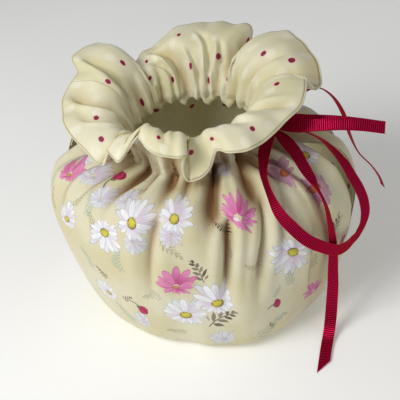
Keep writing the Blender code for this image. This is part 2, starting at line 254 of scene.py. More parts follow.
# The creases that the gathers leave in the belly and the shoulder. A negative depth swells.
CREASES = (
    # top angle, foot angle, top, foot, half width, depth
    (305.5, 290.0, 9.4, 5.0, 4.6, 8.2),
    (311.0, 294.0, 9.2, 5.2, 1.6, -2.2),
    (300.5, 291.5, 6.3, 3.7, 2.4, 6.2),
    (299.5, 287.0, 9.2, 5.0, 5.4, 4.4),
    (268.5, 265.0, 9.2, 5.4, 5.0, 1.6),
    (266.5, 257.5, 6.4, 3.8, 3.6, 4.6),
    (281.0, 279.0, 9.0, 6.3, 2.6, 2.6),
    (328.5, 309.0, 9.4, 5.3, 4.2, 6.8),
    (319.0, 304.0, 6.6, 3.7, 2.2, 4.8),
    (327.0, 315.0, 6.8, 4.3, 2.0, 2.6),
    (338.5, 338.0, 8.3, 4.4, 1.8, 4.8),
    (329.5, 329.0, 6.8, 4.2, 4.2, -2.0),
    (333.0, 332.0, 5.4, 3.2, 2.2, 2.8),
    (332.0, 330.0, 8.6, 6.1, 3.6, 4.4),
    (243.0, 237.0, 9.2, 5.6, 3.2, 4.2),
    (255.0, 252.0, 9.0, 6.6, 2.4, 2.6),
    (226.0, 219.0, 9.2, 5.0, 3.2, 3.8),
    (207.5, 209.0, 9.0, 4.6, 3.0, 4.0),
    (192.0, 196.0, 8.8, 5.6, 3.0, 2.8),
    (352.0, 347.0, 8.8, 5.0, 3.4, 3.4),
    (18.0, 22.0, 9.0, 3.6, 4.6, 5.0),
    (41.0, 47.0, 9.0, 4.2, 4.2, 4.6),
    (55.0, 56.0, 8.4, 5.4, 2.6, 2.6),
    (66.0, 64.0, 9.0, 3.4, 4.6, 5.2),
    (88.0, 94.0, 9.0, 4.4, 4.2, 4.6),
    (101.0, 103.0, 8.6, 5.6, 2.6, 2.6),
    (112.0, 110.0, 9.0, 3.7, 4.6, 5.0),
    (134.0, 141.0, 9.0, 4.3, 4.2, 4.6),
    (158.0, 156.0, 9.0, 3.9, 4.2, 4.4),
    (301.0, 299.0, 4.4, 0.6, 15.0, -5.6),
    (281.0, 281.0, 3.6, 0.6, 7.0, -1.8),
    (262.0, 262.0, 4.0, 0.9, 12.0, -1.6),
    (322.0, 322.0, 4.0, 0.9, 9.0, -1.4),
)

# Long folds of the frill, as seen from above: positive depths are valleys. Each has one width
# on the side of the smaller places and another on the side of the greater ones.
FRILL_FOLDS = (
    # from rise, to rise, place at its start, half-way and at its end, widths, depth
    (0.10, 0.97, 169.5, 172.0, 162.0, 7.0, 2.2, 4.0),
    (0.15, 0.99, 193.0, 197.0, 184.0, 9.0, 2.4, 5.6),
    (0.20, 0.90, 213.0, 212.5, 203.0, 6.0, 2.0, 3.0),
    (0.20, 0.60, 138.0, 142.0, 147.0, 3.5, 1.6, 2.5),
    (0.10, 0.62, 120.0, 124.0, 138.5, 3.0, 1.6, 2.5),
    (0.00, 0.85, 113.0, 117.5, 131.0, 6.0, 2.2, 5.2),
    (0.10, 0.75, 86.5, 88.5, 100.0, 4.0, 1.6, 2.6),
    (0.05, 0.50, 96.0, 99.0, 106.0, 4.0, 1.6, 2.6),
    (0.25, 0.60, 75.0, 77.0, 81.0, 2.5, 1.6, 2.0),
    (0.05, 1.00, 71.0, 66.0, 61.0, 2.2, 6.0, 6.2),
    (0.05, 0.75, 41.0, 37.0, 33.0, 2.0, 4.5, 2.6),
    (0.05, 0.90, 24.0, 22.0, 20.0, 2.2, 5.0, 3.0),
    (0.35, 0.98, 338.0, 343.0, 348.0, 6.0, 2.2, 3.5),
    (0.20, 0.80, 318.0, 322.0, 328.0, 5.0, 1.8, 2.2),
    (0.30, 1.00, 239.5, 237.0, 235.3, 3.0, 1.6, 3.2),
    (0.50, 1.00, 250.0, 250.0, 249.0, 3.0, 2.0, 3.0),
    (0.40, 1.00, 287.5, 287.0, 286.5, 3.0, 1.6, 3.0),
    (0.50, 1.00, 301.0, 300.5, 300.0, 3.0, 4.0, 1.0),
    (0.30, 0.90, 268.0, 270.0, 272.0, 3.0, 1.6, 1.6),
    (0.10, 0.70, 281.0, 283.0, 285.0, 3.0, 2.0, 1.6),
    (0.05, 0.70, 228.0, 229.0, 230.0, 3.0, 2.0, 2.0),
)

# Where the side seams are left open. half_width is how far the edges stand from the seam.
OPENINGS = (
    # seam angle, bottom station, top station, half width
    (0.0, 3.3, 7.3, 10.5),
    (180.0, 4.3, 7.5, 16.0),
)


@dataclass(frozen=True)
class Gather:
    """One size of gather, where the drawstring pulls the cloths together."""

    count: int
    depth: float
    seed: int
    reach: tuple[float, float, float, float]

    def luck(self) -> tuple[Array, Array]:
        """Each gather's own strength, and how many stations it is shifted by."""
        random = np.random.default_rng(self.seed)
        return random.uniform(0.45, 1.2, self.count), random.uniform(-0.55, 0.45, self.count)

    def wander(self, place: Array) -> Array:
        """Degrees by which the gathers stray from even spacing: three slow sine waves."""
        turn = np.radians(place)
        return (
            3.0 * np.sin(3 * turn + 1.9 * self.seed)
            + 1.8 * np.sin(7 * turn + 2.3 * self.seed)
            + 1.0 * np.sin(13 * turn + 4.1 * self.seed)
        )

    def relief(self, place: Array, station: Array) -> Array:
        """How far the gathers stand out.

        Below the throat it is |sin|, with narrow valleys between round ridges; above it turns
        into -|cos|, which has the same ridges but is narrow on the lining's side. In front the
        gathers end sooner above the throat.

        Args:
            place: where round the cosy.
            station: how far up the cloth.

        Returns:
            The height of the relief there.
        """
        strayed = place + self.wander(place) + 0.9 * np.sin(1.7 * station + self.seed)
        phase = self.count * strayed / 360
        ridge = np.floor(phase).astype(int) % self.count
        trough = np.floor(phase + 0.5).astype(int) % self.count
        station = station + np.maximum(station - THROAT, 0) * 2.2 * front_share(place)
        strength, shift = self.luck()
        out = round_ridge(np.sin(np.pi * phase))
        down = round_ridge(np.cos(np.pi * phase))
        out = out * strength[ridge] * bump(station + shift[ridge], *self.reach)
        down = down * strength[trough] * bump(station + shift[trough], *self.reach)
        level = 0.5 * bump(station, *self.reach)
        turned = smooth_step(station - 9.1)
        return self.depth * ((1 - turned) * (out - level) + turned * (level - down))


@dataclass(frozen=True)
class CosyForm:
    """The surface half-way through the cloths, as a function of place and station."""

    seam_gap: float = 0.02
    seam_sink: float = 0.5
    seam_width: float = 1.1
    puff: float = 3.0
    neck_drop: float = 7.0
    shoulder_tilt: float = 45.0
    ripple: float = 0.5
    slack: float = 0.7
    droop: float = 3.0
    gathers: tuple[Gather, ...] = (
        Gather(31, 2.1, 1, (7.4, 9.0, 10.4, 12.0)),
        Gather(15, 2.9, 2, (5.6, 8.6, 10.4, 12.6)),
        Gather(67, 0.5, 3, (8.4, 9.3, 10.4, 11.4)),
    )

    def crease_depth(self, angle: Array, station: Array) -> Array:
        """How far the creases draw the cloth in.

        Each crease is a bell across its width, with a soft ridge on each side, along a line
        from its top to its foot, and it fades out at both ends.

        Args:
            angle: where round the cosy.
            station: how far up the cloth.

        Returns:
            The depth there, below zero where the cloth swells.
        """
        depth = np.zeros(np.broadcast(angle, station).shape)
        for top_angle, foot_angle, top, foot, half_width, deep in CREASES:
            down = np.clip((top - station) / (top - foot), 0, 1)
            centre = top_angle + (foot_angle - top_angle) * down
            share = np.abs(apart(angle, centre)) / half_width
            fade = smooth_step((top - station) / 0.8 + 0.35)
            fade = fade * smooth_step((station - foot) / (0.5 * (top - foot)))
            depth += deep * fade * valley(share, 1.6, 0.3)
        return depth

    def body(self, angle: Array, station: Array) -> tuple[Array, Array]:
        """The cloth from the hem to the throat.

        The creases sink into the cloth: inwards on the belly, and partly downwards on the
        shoulder.

        Args:
            angle: where round the cosy.
            station: how far up the cloth.

        Returns:
            The radius and the height there.
        """
        at = np.minimum(station, THROAT)
        radius, height, stretch, pull = (
            ease_through(OUTLINE[:, 0], OUTLINE[:, i], at) for i in range(1, 5)
        )
        lean = np.cos(np.radians(angle))
        wide = 1 + stretch * lean**2 + pull * np.abs(lean) ** 6
        height = height - self.neck_drop * front_share(angle) * smooth_step((at - 6) / 2.5)
        crease = self.crease_depth(angle, station)
        tilt = np.radians(self.shoulder_tilt) * bump(at, 4.6, 7.2, 8.6, 10.0)
        return radius * wide - crease * np.cos(tilt), height - crease * np.sin(tilt)

    def frill(self, place: Array, station: Array) -> tuple[Array, Array, Array]:
        """The frill: a parabolic arch from the throat to the rim.

        Args:
            place: where round the cosy.
            station: how far up the cloth.

        Returns:
            The angle, the radius and the height there.
        """
        rise = np.clip((station - THROAT) / (RIM - THROAT), 0, 1)
        near, low = self.body(place, np.full_like(station, THROAT))
        rows = RIM_LINE[:, 0]
        angle = ease_round(rows, RIM_LINE[:, 1], place, turn=360)
        reach, height, lift = (ease_round(rows, RIM_LINE[:, i], place) for i in (2, 3, 4))
        crown_radius = near + 0.22 * (reach - near)
        crown_height = height + lift
        stay, swing, go = (1 - rise) ** 2, 2 * rise * (1 - rise), rise**2
        return (
            place + (angle - place) * rise,
            stay * near + swing * crown_radius + go * reach,
            stay * low + swing * crown_height + go * height,
        )

    def opened(self, place: Array, station: Array) -> Array:
        """Where the cloth moves to beside a side seam that is left open.

        Args:
            place: where round the cosy the cloth is sewn.
            station: how far up the cloth.

        Returns:
            The angle that it ends up at.
        """
        angle = place + 0.0 * station
        for seam, bottom, top, half_width in OPENINGS:
            inside = np.clip((station - bottom) / (top - bottom), 0, 1)
            stand_off = half_width * np.sin(np.pi * inside) ** 0.75 + self.seam_gap / 2
            radius = self.body(np.full_like(angle, seam), station)[0]
            shift = np.degrees(stand_off / radius)
            gap = apart(place, seam)
            angle = angle + np.sign(gap) * shift * (1 - smooth_step(np.abs(gap) / 55))
        return angle

    def smooth(self, place: Array, station: Array) -> Array:
        """The surface without its gathers and folds.

        Args:
            place: where round the cosy.
            station: how far up the cloth.

        Returns:
            Points in X, Y and Z.
        """
        shifted = self.opened(place, station)
        radius, height = self.body(shifted, station)
        angle, frill_radius, frill_height = self.frill(shifted, station)
        above = station > THROAT
        angle = np.radians(np.where(above, angle, shifted))
        radius = np.where(above, frill_radius, radius)
        height = np.where(above, frill_height, height)
        return np.stack([radius * np.cos(angle), radius * np.sin(angle), height], -1)

    def directions(
        self, place: Array, station: Array, start: float, end: float
    ) -> tuple[Array, Array]:
        """Which way the surface faces and climbs, from points a little way off on each side.

        Args:
            place: where round the cosy.
            station: how far up the cloth.
            start, end: the places of the panel's side edges.

        Returns:
            Unit normals, outwards on the belly, and unit directions towards the rim.
        """
        before, after = np.maximum(place - 0.3, start), np.minimum(place + 0.3, end)
        below, above = np.maximum(station - 0.04, 0), np.minimum(station + 0.04, RIM)
        across = self.smooth(after, station) - self.smooth(before, station)
        along = self.smooth(place, above) - self.smooth(place, below)
        return unit(np.cross(across, along)), unit(along)

    def folds(self, place: Array, rise: Array) -> Array:
        """The frill's long folds.

        Each runs along a parabola through its three places. Across it the depth is
        exp(-|x|^1.5) of the distance in widths, with a low lip on each side.

        Args:
            place: where round the cosy.
            rise: how far up the frill, from 0 to 1.

        Returns:
            The height that the folds add there.
        """
        height = np.zeros(np.broadcast(place, rise).shape)
        for low, high, first, half_way, last, before, after, deep in FRILL_FOLDS:
            along = np.clip((rise - low) / (high - low), 0, 1)
            centre = (
                first * (1 - along) * (1 - 2 * along)
                + half_way * 4 * along * (1 - along)
                + last * along * (2 * along - 1)
            )
            across = apart(place, centre)
            share = np.abs(across) / np.where(across < 0, before, after)
            fade = smooth_step(along * 3.5)
            if high < 1:
                fade = fade * smooth_step((1 - along) * 3.5)
            height += deep * fade * valley(share, 1.5, 0.35)
        return height

    def relief(self, place: Array, station: Array) -> Array:
        """How far the cloths stand out of the smooth surface, along its normal.

        It adds up the gathers, the frill's folds, a ripple along its edge, slack waves in the
        belly, the sag of the frill's edge beside the handle and the sunken side seams.

        Args:
            place: where round the cosy.
            station: how far up the cloth.

        Returns:
            The height of the relief there.
        """
        height = sum(size.relief(place, station) for size in self.gathers)
        rise = (station - THROAT) / (RIM - THROAT)
        height = height + self.folds(place, rise)
        turn = np.radians(place)
        ripple = np.sin(19 * turn + 1.2 * np.sin(5 * turn)) + 0.6 * np.sin(31 * turn + 2.0)
        height = height + self.ripple * bump(rise, 0.55, 1.0, 1.5, 2.0) * ripple
        slack = np.sin(9 * turn + 0.8 * station) * np.sin(1.3 * station + 3 * turn + 0.7)
        height = height + self.slack * bump(station, 1.6, 4.0, 7.0, 8.6) * slack
        droop = bump(place, -2, 8, 34, 50) + bump(place, 358, 368, 394, 410)
        height = height + self.droop * droop * smooth_step((rise - 0.76) / 0.24)
        seam = np.minimum(np.abs(apart(place, 0.0)), np.abs(apart(place, 180.0)))
        sewn = smooth_step((station - 2) / 2) * smooth_step(9.5 - station)
        return height - self.seam_sink * np.exp(-((seam / self.seam_width) ** 2)) * sewn


FORM = CosyForm()


# ---------------------------------------------------------------- meshes


def grid_mesh(
    name: str, points: Array, closed_rows: bool = False, flip: bool = False
) -> bpy.types.Mesh:
    """A mesh of four-sided faces over a grid of points.

    Args:
        name: the mesh's name.
        points: rows x columns x 3, in millimetres.
        closed_rows: True where each row is a ring, its last point beside its first.
        flip: True to turn every face over.

    Returns:
        The mesh, in metres, shaded smooth.
    """
    rows, columns = points.shape[:2]
    index = np.arange(rows * columns, dtype=np.int32).reshape(rows, columns)
    if closed_rows:
        index = np.concatenate([index, index[:, :1]], axis=1)
    corners = np.stack([index[:-1, :-1], index[:-1, 1:], index[1:, 1:], index[1:, :-1]], -1)
    corners = corners.reshape(-1, 4)
    if flip:
        corners = corners[:, ::-1]
    mesh = bpy.data.meshes.new(name)
    mesh.vertices.add(rows * columns)
    mesh.vertices.foreach_set("co", (points.reshape(-1) * MM).astype(np.float32))
    mesh.loops.add(corners.size)
    mesh.loops.foreach_set("vertex_index", np.ascontiguousarray(corners).reshape(-1))
    mesh.polygons.add(len(corners))
    mesh.polygons.foreach_set("loop_start", np.arange(0, corners.size, 4, dtype=np.int32))
    mesh.update(calc_edges=True)
    mesh.validate()
    mesh.shade_smooth()
    return mesh


def close_ends(mesh: bpy.types.Mesh) -> None:
    """Merges the points that meet at each end of a closed form.

    Args:
        mesh: a mesh of closed rows, whose first and last row are each drawn to one point.
    """
    work = bmesh.new()
    work.from_mesh(mesh)
    bmesh.ops.remove_doubles(work, verts=work.verts, dist=1e-6)
    bmesh.ops.recalc_face_normals(work, faces=work.faces)
    work.to_mesh(mesh)
    work.free()
    mesh.shade_smooth()


def corners_of(mesh: bpy.types.Mesh) -> Array:
    """The vertex at each face corner.

    Args:
        mesh: any mesh.

    Returns:
        One vertex number for each corner, face after face.
    """
    found = np.empty(len(mesh.loops), np.int32)
    mesh.loops.foreach_get("vertex_index", found)
    return found


def lay_map(mesh: bpy.types.Mesh, name: str, flat: Array) -> None:
    """Gives the mesh a UV map in millimetres.

    Args:
        mesh: the mesh.
        name: the map's name.
        flat: the flat point of each vertex.
    """
    layer = mesh.uv_layers.new(name=name)
    layer.data.foreach_set("uv", flat[corners_of(mesh)].astype(np.float32).reshape(-1))


def lay_shade(mesh: bpy.types.Mesh, name: str, values: Array) -> None:
    """Gives the mesh one number a vertex."""
    made = mesh.attributes.new(name, "FLOAT", "POINT")
    made.data.foreach_set("value", values.astype(np.float32).reshape(-1))


def place_object(mesh: bpy.types.Mesh, finish: bpy.types.Material) -> bpy.types.Object:
    """Puts a mesh in the scene.

    Args:
        mesh: the mesh.
        finish: its material.

    Returns:
        An object of that mesh, at the origin.
    """
    mesh.materials.append(finish)
    made = bpy.data.objects.new(mesh.name, mesh)
    bpy.context.scene.collection.objects.link(made)
    return made


def stand_for(piece: bpy.types.Object, node: str, slot: str) -> None:
    """Makes a piece ride on the body, and take the place of a solid.

    Args:
        piece: the piece.
        node: the solid that it hides.
        slot: the record's material slot; not used.
    """
    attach(piece, BODY)
    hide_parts(node)


def thicken(piece: bpy.types.Object, thickness: float) -> None:
    """Gives a sheet its thickness, behind the side that shows.

    Args:
        piece: the sheet.
        thickness: in millimetres.
    """
    solid = piece.modifiers.new("thickness", "SOLIDIFY")
    solid.thickness = thickness * MM
    solid.offset = -1.0
    solid.use_even_offset = False
    solid.use_quality_normals = False


# ---------------------------------------------------------------- the print


class Motif(Enum):
    """What the cloth is printed with. Each is a layer of its own."""

    DAISY = "daisy"
    UNDER_DAISY = "under_daisy"
    PINK = "pink"
    ROSE = "rose"
    MAUVE = "mauve"
    BUD = "bud"
    SPRAY = "spray"
    LEAF = "leaf"
    TWIG = "twig"
    DOT = "dot"
    PALE_DOT = "pale_dot"


# The printed motifs of the front panel. The back panel is cut from the same repeat.
PRINT = {
    # place, station, size, turn, squash
    Motif.DAISY: (
        (240.5, 5.50, 14.5, 180, 0.95), (255.5, 6.03, 16.0, 340, 0.95), (275.8, 6.32, 13.5, 5, 1.00),
        (274.2, 3.72, 17.0, 5, 0.80), (289.4, 4.12, 16.5, 10, 0.90), (324.2, 4.86, 15.5, 130, 0.95),
        (213.5, 5.28, 11.0, 0, 0.95), (232.5, 3.72, 10.5, 20, 0.90), (355.6, 6.95, 9.0, 330, 0.95),
        (188.0, 3.00, 11.0, 60, 0.95), (351.0, 3.10, 11.0, 80, 0.95), (243.0, 12.60, 11.0, 80, 0.95),
        (212.0, 12.90, 9.0, 150, 0.95), (305.0, 12.60, 9.0, 10, 0.95),
    ),
    Motif.UNDER_DAISY: (
        (290.0, 2.72, 11.0, 10, 0.80), (251.5, 3.20, 8.0, 40, 0.95), (216.2, 6.95, 10.5, 30, 0.95),
        (233.5, 6.42, 9.5, 10, 0.95), (247.5, 6.70, 9.0, 20, 0.95), (197.5, 7.20, 8.0, 10, 0.90),
        (274.0, 5.85, 8.0, 160, 0.90), (256.5, 5.55, 9.0, 190, 0.90), (309.5, 8.40, 9.5, 0, 0.95),
        (283.0, 10.70, 7.0, 30, 0.95), (200.0, 4.10, 9.0, 190, 0.90),
    ),
    Motif.PINK: (
        (198.0, 6.40, 9.0, 10, 0.95), (272.5, 4.50, 13.0, 355, 0.95), (193.0, 4.60, 9.0, 320, 0.95),
        (270.0, 12.60, 9.0, 200, 0.95),
    ),
    Motif.ROSE: (
        (303.2, 6.12, 12.8, 308, 0.90), (335.0, 3.36, 8.5, 15, 0.85),
    ),
    Motif.MAUVE: (
        (337.0, 7.00, 11.5, 20, 0.95), (344.5, 6.10, 11.5, 200, 0.95), (206.0, 8.20, 8.0, 20, 0.95),
    ),
    Motif.BUD: (
        (230.3, 7.54, 8.2, 5, 0.62), (252.5, 3.70, 5.0, 240, 1.00), (313.6, 3.76, 5.0, 280, 0.90),
        (190.0, 7.30, 5.0, 350, 1.00), (354.0, 4.30, 5.0, 20, 1.00), (229.0, 12.70, 5.0, 20, 1.00),
    ),
    Motif.SPRAY: (
        (225.0, 4.50, 9.0, 35, 1.00), (246.8, 4.85, 9.5, 350, 1.00), (260.0, 4.15, 9.5, 95, 1.00),
        (240.5, 3.20, 10.5, 60, 1.00), (244.5, 7.55, 9.0, 310, 1.00), (228.0, 6.10, 8.5, 20, 1.00),
        (322.5, 4.32, 9.0, 15, 1.00), (311.0, 2.95, 16.0, 285, 1.00), (314.5, 4.08, 5.5, 330, 1.00),
        (349.0, 4.80, 9.0, 330, 1.00), (205.0, 3.10, 10.0, 60, 1.00), (190.0, 5.90, 10.0, 30, 1.00),
        (262.0, 12.40, 9.0, 40, 1.00),
    ),
    Motif.LEAF: (
        (232.0, 5.60, 8.0, 40, 1.00), (251.0, 7.20, 8.5, 330, 1.00), (273.8, 5.50, 10.0, 205, 1.00),
        (293.0, 6.40, 8.0, 15, 1.00), (307.0, 4.78, 7.5, 50, 1.00), (335.0, 4.30, 8.0, 330, 1.00),
        (267.5, 3.05, 8.5, 100, 1.00), (298.5, 5.30, 7.0, 160, 1.00), (219.0, 6.00, 8.0, 340, 1.00),
        (197.0, 5.40, 9.0, 20, 1.00),
    ),
    Motif.TWIG: (
        (283.2, 4.86, 9.5, 25, 1.00), (234.0, 4.38, 6.0, 60, 1.00), (245.5, 3.92, 5.0, 290, 1.00),
        (295.8, 5.92, 5.5, 75, 1.00), (270.5, 9.50, 7.0, 30, 1.00), (298.6, 5.84, 7.0, 330, 1.00),
        (291.5, 3.66, 13.0, 305, 1.00), (311.5, 3.00, 4.5, 20, 1.00), (347.0, 4.98, 7.5, 330, 1.00),
        (219.0, 7.40, 4.0, 60, 1.00), (278.0, 10.90, 6.0, 40, 1.00),
    ),
}  # fmt: skip

# Crimson dots of the lining's frill; further in they follow an even half-drop.
DOTS = (
    # place, station
    (156, 11.9), (178, 12.1), (207, 12.5), (224.6, 13.1), (136, 12.7), (140, 11.5), (120, 10.7),
    (156, 10.2), (109, 12.8), (102, 11.0), (78, 11.5), (67, 13.7), (68, 10.7), (86, 10.4),
    (42, 12.2), (28, 13.0), (357, 12.7), (14, 13.3), (324, 13.3), (301, 13.3), (291, 12.9),
    (268, 13.1), (250, 12.2), (338, 11.2), (16, 11.2), (222, 11.3), (300, 11.0),
)  # fmt: skip


@dataclass(frozen=True)
class ClothPlane:
    """The cloth laid flat: X round the belly and Y from the hem's edge, in millimetres."""

    girth_station: float = 5.0
    drop_place: float = 270.0
    frill_drop: float = 46.0

    def across(self, place: Array) -> Array:
        """The distance round the belly.

        Args:
            place: where round the cosy.

        Returns:
            X of each place.
        """
        around = np.arange(0, 360.5, 0.5)
        ring = FORM.smooth(around, np.full_like(around, self.girth_station))
        return np.interp(place, around, run_along(ring))

    def up(self, station: Array) -> Array:
        """The distance up the cloth, with the frill spread evenly above the throat.

        Args:
            station: how far up the cloth.

        Returns:
            Y of each station.
        """
        steps = np.linspace(0, THROAT, 201)
        line = FORM.smooth(np.full_like(steps, self.drop_place), steps)
        above = np.maximum(station - THROAT, 0) / (RIM - THROAT) * self.frill_drop
        return np.interp(station, steps, run_along(line)) + above

    def flat(self, place: Array, station: Array) -> Array:
        """The flat point of each place and station."""
        return np.stack([self.across(place), self.up(station)], -1)


PLANE = ClothPlane()


def lay_motifs(
    mesh: bpy.types.Mesh, flat: Array, layer: Motif, rows: list[tuple[float, ...]]
) -> None:
    """Gives each face the nearest motif's own coordinates, as the layer's attribute.

    At each corner the attribute is the flat point less the motif's centre, turned, divided by
    the motif's size and by its squash, with a number of the motif's own as the third part.

    Args:
        mesh: the cloth.
        flat: the flat point of each vertex.
        layer: names the attribute.
        rows: place, station, size, turn and squash of each motif.
    """
    table = np.array(rows, float)
    centres = PLANE.flat(table[:, 0], table[:, 1])
    corners = corners_of(mesh)
    middles = flat[corners.reshape(-1, 4)].mean(axis=1)
    far = np.linalg.norm(middles[:, None, :] - centres[None, :, :], axis=2) / table[:, 2]
    chosen = np.repeat(far.argmin(axis=1), 4)
    away = flat[corners] - centres[chosen]
    turn = np.radians(table[chosen, 3])
    along = away[:, 0] * np.cos(turn) + away[:, 1] * np.sin(turn)
    upright = -away[:, 0] * np.sin(turn) + away[:, 1] * np.cos(turn)
    own = np.stack([along, upright / table[chosen, 4], 0 * along], -1) / table[chosen, 2, None]
    own[:, 2] = np.mod(chosen * 0.618 + 0.137, 1.0)
    made = mesh.attributes.new(layer.value, "FLOAT_VECTOR", "CORNER")
    made.data.foreach_set("vector", own.astype(np.float32).reshape(-1))


# ---------------------------------------------------------------- shader nets


@dataclass(frozen=True)
class Signal:
    """What one socket gives, open to ordinary arithmetic.

    Each step of it adds a Math node to the net that the signal belongs to.
    """

    net: "Net"
    socket: Socket

    def __add__(self, other: Value) -> "Signal":
        """The sum."""
        return self.net.maths("ADD", self, other)

    def __radd__(self, other: Value) -> "Signal":
        """The sum, with the constant first."""
        return self.net.maths("ADD", other, self)

    def __sub__(self, other: Value) -> "Signal":
        """The difference."""
        return self.net.maths("SUBTRACT", self, other)

    def __rsub__(self, other: Value) -> "Signal":
        """The difference, with the constant first."""
        return self.net.maths("SUBTRACT", other, self)

    def __mul__(self, other: Value) -> "Signal":
        """The product."""
        return self.net.maths("MULTIPLY", self, other)

    def __truediv__(self, other: Value) -> "Signal":
        """The quotient."""
        return self.net.maths("DIVIDE", self, other)

    def squared(self) -> "Signal":
        """This times itself."""
        return self.net.maths("MULTIPLY", self, self)

    def at_least(self, other: Value) -> "Signal":
        """The larger of the two."""
        return self.net.maths("MAXIMUM", self, other)

    def maths(self, operation: str, other: Value = 0.0) -> "Signal":
        """One other step of arithmetic on this and, where it takes two, another."""
        return self.net.maths(operation, self, other)

    def ramp(self, low: float, high: float, start: float = 0.0, end: float = 1.0) -> "Signal":
        """A smooth change from one number to another.

        Args:
            low, high: where this signal is at the start and at the end of the change.
            start, end: what the ramp gives there and beyond.

        Returns:
            The ramp.
        """
        made = self.net.node("ShaderNodeMapRange", interpolation_type="SMOOTHSTEP")
        self.net.feed(made.inputs["Value"], self)
        names = ("From Min", "From Max", "To Min", "To Max")
        for name, number in zip(names, (low, high, start, end)):
            made.inputs[name].default_value = number
        return Signal(self.net, made.outputs["Result"])


class Net:
    """Adds nodes to one shader tree and joins them up."""

    def __init__(self, tree: bpy.types.NodeTree) -> None:
        """Keeps the tree that the nodes go in."""
        self.tree = tree

    def node(self, kind: str, **settings: object) -> bpy.types.Node:
        """A new node.

        Args:
            kind: its type.
            **settings: its properties.

        Returns:
            The node.
        """
        made = self.tree.nodes.new(kind)
        for name, value in settings.items():
            setattr(made, name, value)
        return made

    def feed(self, socket: Socket, value: object) -> None:
        """Links a signal to a socket, or sets a constant there.

        Args:
            socket: a node's input.
            value: a signal, a number, or a colour of three or four parts.
        """
        if isinstance(value, Signal):
            self.tree.links.new(value.socket, socket)
        elif isinstance(value, tuple) and len(value) == 3:
            socket.default_value = (*value, 1.0)
        else:
            socket.default_value = value

    def source(self, kind: str, output: str, **settings: object) -> Signal:
        """What a new node of that kind and settings gives at the named output."""
        return Signal(self, self.node(kind, **settings).outputs[output])

    def attribute(self, name: str, output: str = "Vector") -> Signal:
        """One of the mesh's attributes."""
        return self.source("ShaderNodeAttribute", output, attribute_name=name)

    def fed(self, kind: str, values: tuple[object, ...], **settings: object) -> Signal:
        """The first output of a new node with its first inputs filled.

        Args:
            kind: the node's type.
            values: what each of its first inputs gets.
            **settings: its properties.

        Returns:
            What it gives.
        """
        made = self.node(kind, **settings)
        for socket, value in zip(made.inputs, values):
            self.feed(socket, value)
        return Signal(self, made.outputs[0])

    def maths(self, operation: str, first: Value, second: Value) -> Signal:
        """One step of arithmetic."""
        return self.fed("ShaderNodeMath", (first, second), operation=operation)

    def join(self, x: Value, y: Value, z: Value = 0.0) -> Signal:
        """A vector of three parts."""
        return self.fed("ShaderNodeCombineXYZ", (x, y, z))

    def chance(self, value: Value) -> Signal:
        """A fixed random number from 0 to 1 for each value.

        Args:
            value: what picks the number.

        Returns:
            The random number.
        """
        made = self.node("ShaderNodeTexWhiteNoise", noise_dimensions="1D")
        self.feed(made.inputs["W"], value)
        return Signal(self, made.outputs["Value"])

    def noise(self, vector: Signal, scale: float, detail: float = 2.0) -> Signal:
        """Soft noise.

        Args:
            vector: where to read it.
            scale: how many lumps there are in one unit of the vector.
            detail: how many finer sizes are laid over them.

        Returns:
            A number between about 0.2 and 0.8.
        """
        made = self.node("ShaderNodeTexNoise")
        self.feed(made.inputs["Vector"], vector)
        made.inputs["Scale"].default_value = scale
        made.inputs["Detail"].default_value = detail
        return Signal(self, made.outputs["Fac"])

    def tint(self, share: Value, under: object, above: object, how: str = "MIX") -> Signal:
        """One colour laid over another.

        Args:
            share: how much of the upper one shows.
            under, above: the two colours.
            how: the way they blend.

        Returns:
            The blended colour.
        """
        made = self.node("ShaderNodeMix", data_type="RGBA", blend_type=how)
        for number, value in ((0, share), (6, under), (7, above)):
            self.feed(made.inputs[number], value)
        return Signal(self, made.outputs[2])

    def parts(self, vector: Signal) -> list[Signal]:
        """The parts of a vector.

        Args:
            vector: the vector.

        Returns:
            Its X, Y and Z.
        """
        made = self.node("ShaderNodeSeparateXYZ")
        self.feed(made.inputs[0], vector)
        return [Signal(self, socket) for socket in made.outputs]

    def group(self, tree: bpy.types.NodeTree, **inputs: object) -> dict[str, Signal]:
        """Places a node group.

        Args:
            tree: the group.
            **inputs: what each named input gets, an underscore standing for a space.

        Returns:
            What the group gives, by the names of its outputs.
        """
        made = self.node("ShaderNodeGroup", node_tree=tree)
        for name, value in inputs.items():
            self.feed(made.inputs[name.replace("_", " ")], value)
        return {socket.name: Signal(self, socket) for socket in made.outputs}


class GroupNet(Net):
    """A net in a new node group with named sockets."""

    def __init__(self, name: str, inputs: dict[str, str], outputs: dict[str, str]) -> None:
        """Makes the group and its sockets.

        Args:
            name: the group's name.
            inputs: the kind (Float, Vector or Color) of each named input.
            outputs: the same of each output.
        """
        super().__init__(bpy.data.node_groups.new(name, "ShaderNodeTree"))
        for side, sockets in (("INPUT", inputs), ("OUTPUT", outputs)):
            for label, kind in sockets.items():
                self.tree.interface.new_socket(
                    name=label, in_out=side, socket_type=f"NodeSocket{kind}"
                )
        self.entry = self.node("NodeGroupInput")
        self.leave = self.node("NodeGroupOutput")

    def given(self, label: str) -> Signal:
        """What the group is given at one of its inputs."""
        return Signal(self, self.entry.outputs[label])

    def give(self, label: str, value: Signal) -> None:
        """Sends a signal to one of the group's outputs."""
        self.feed(self.leave.inputs[label], value)


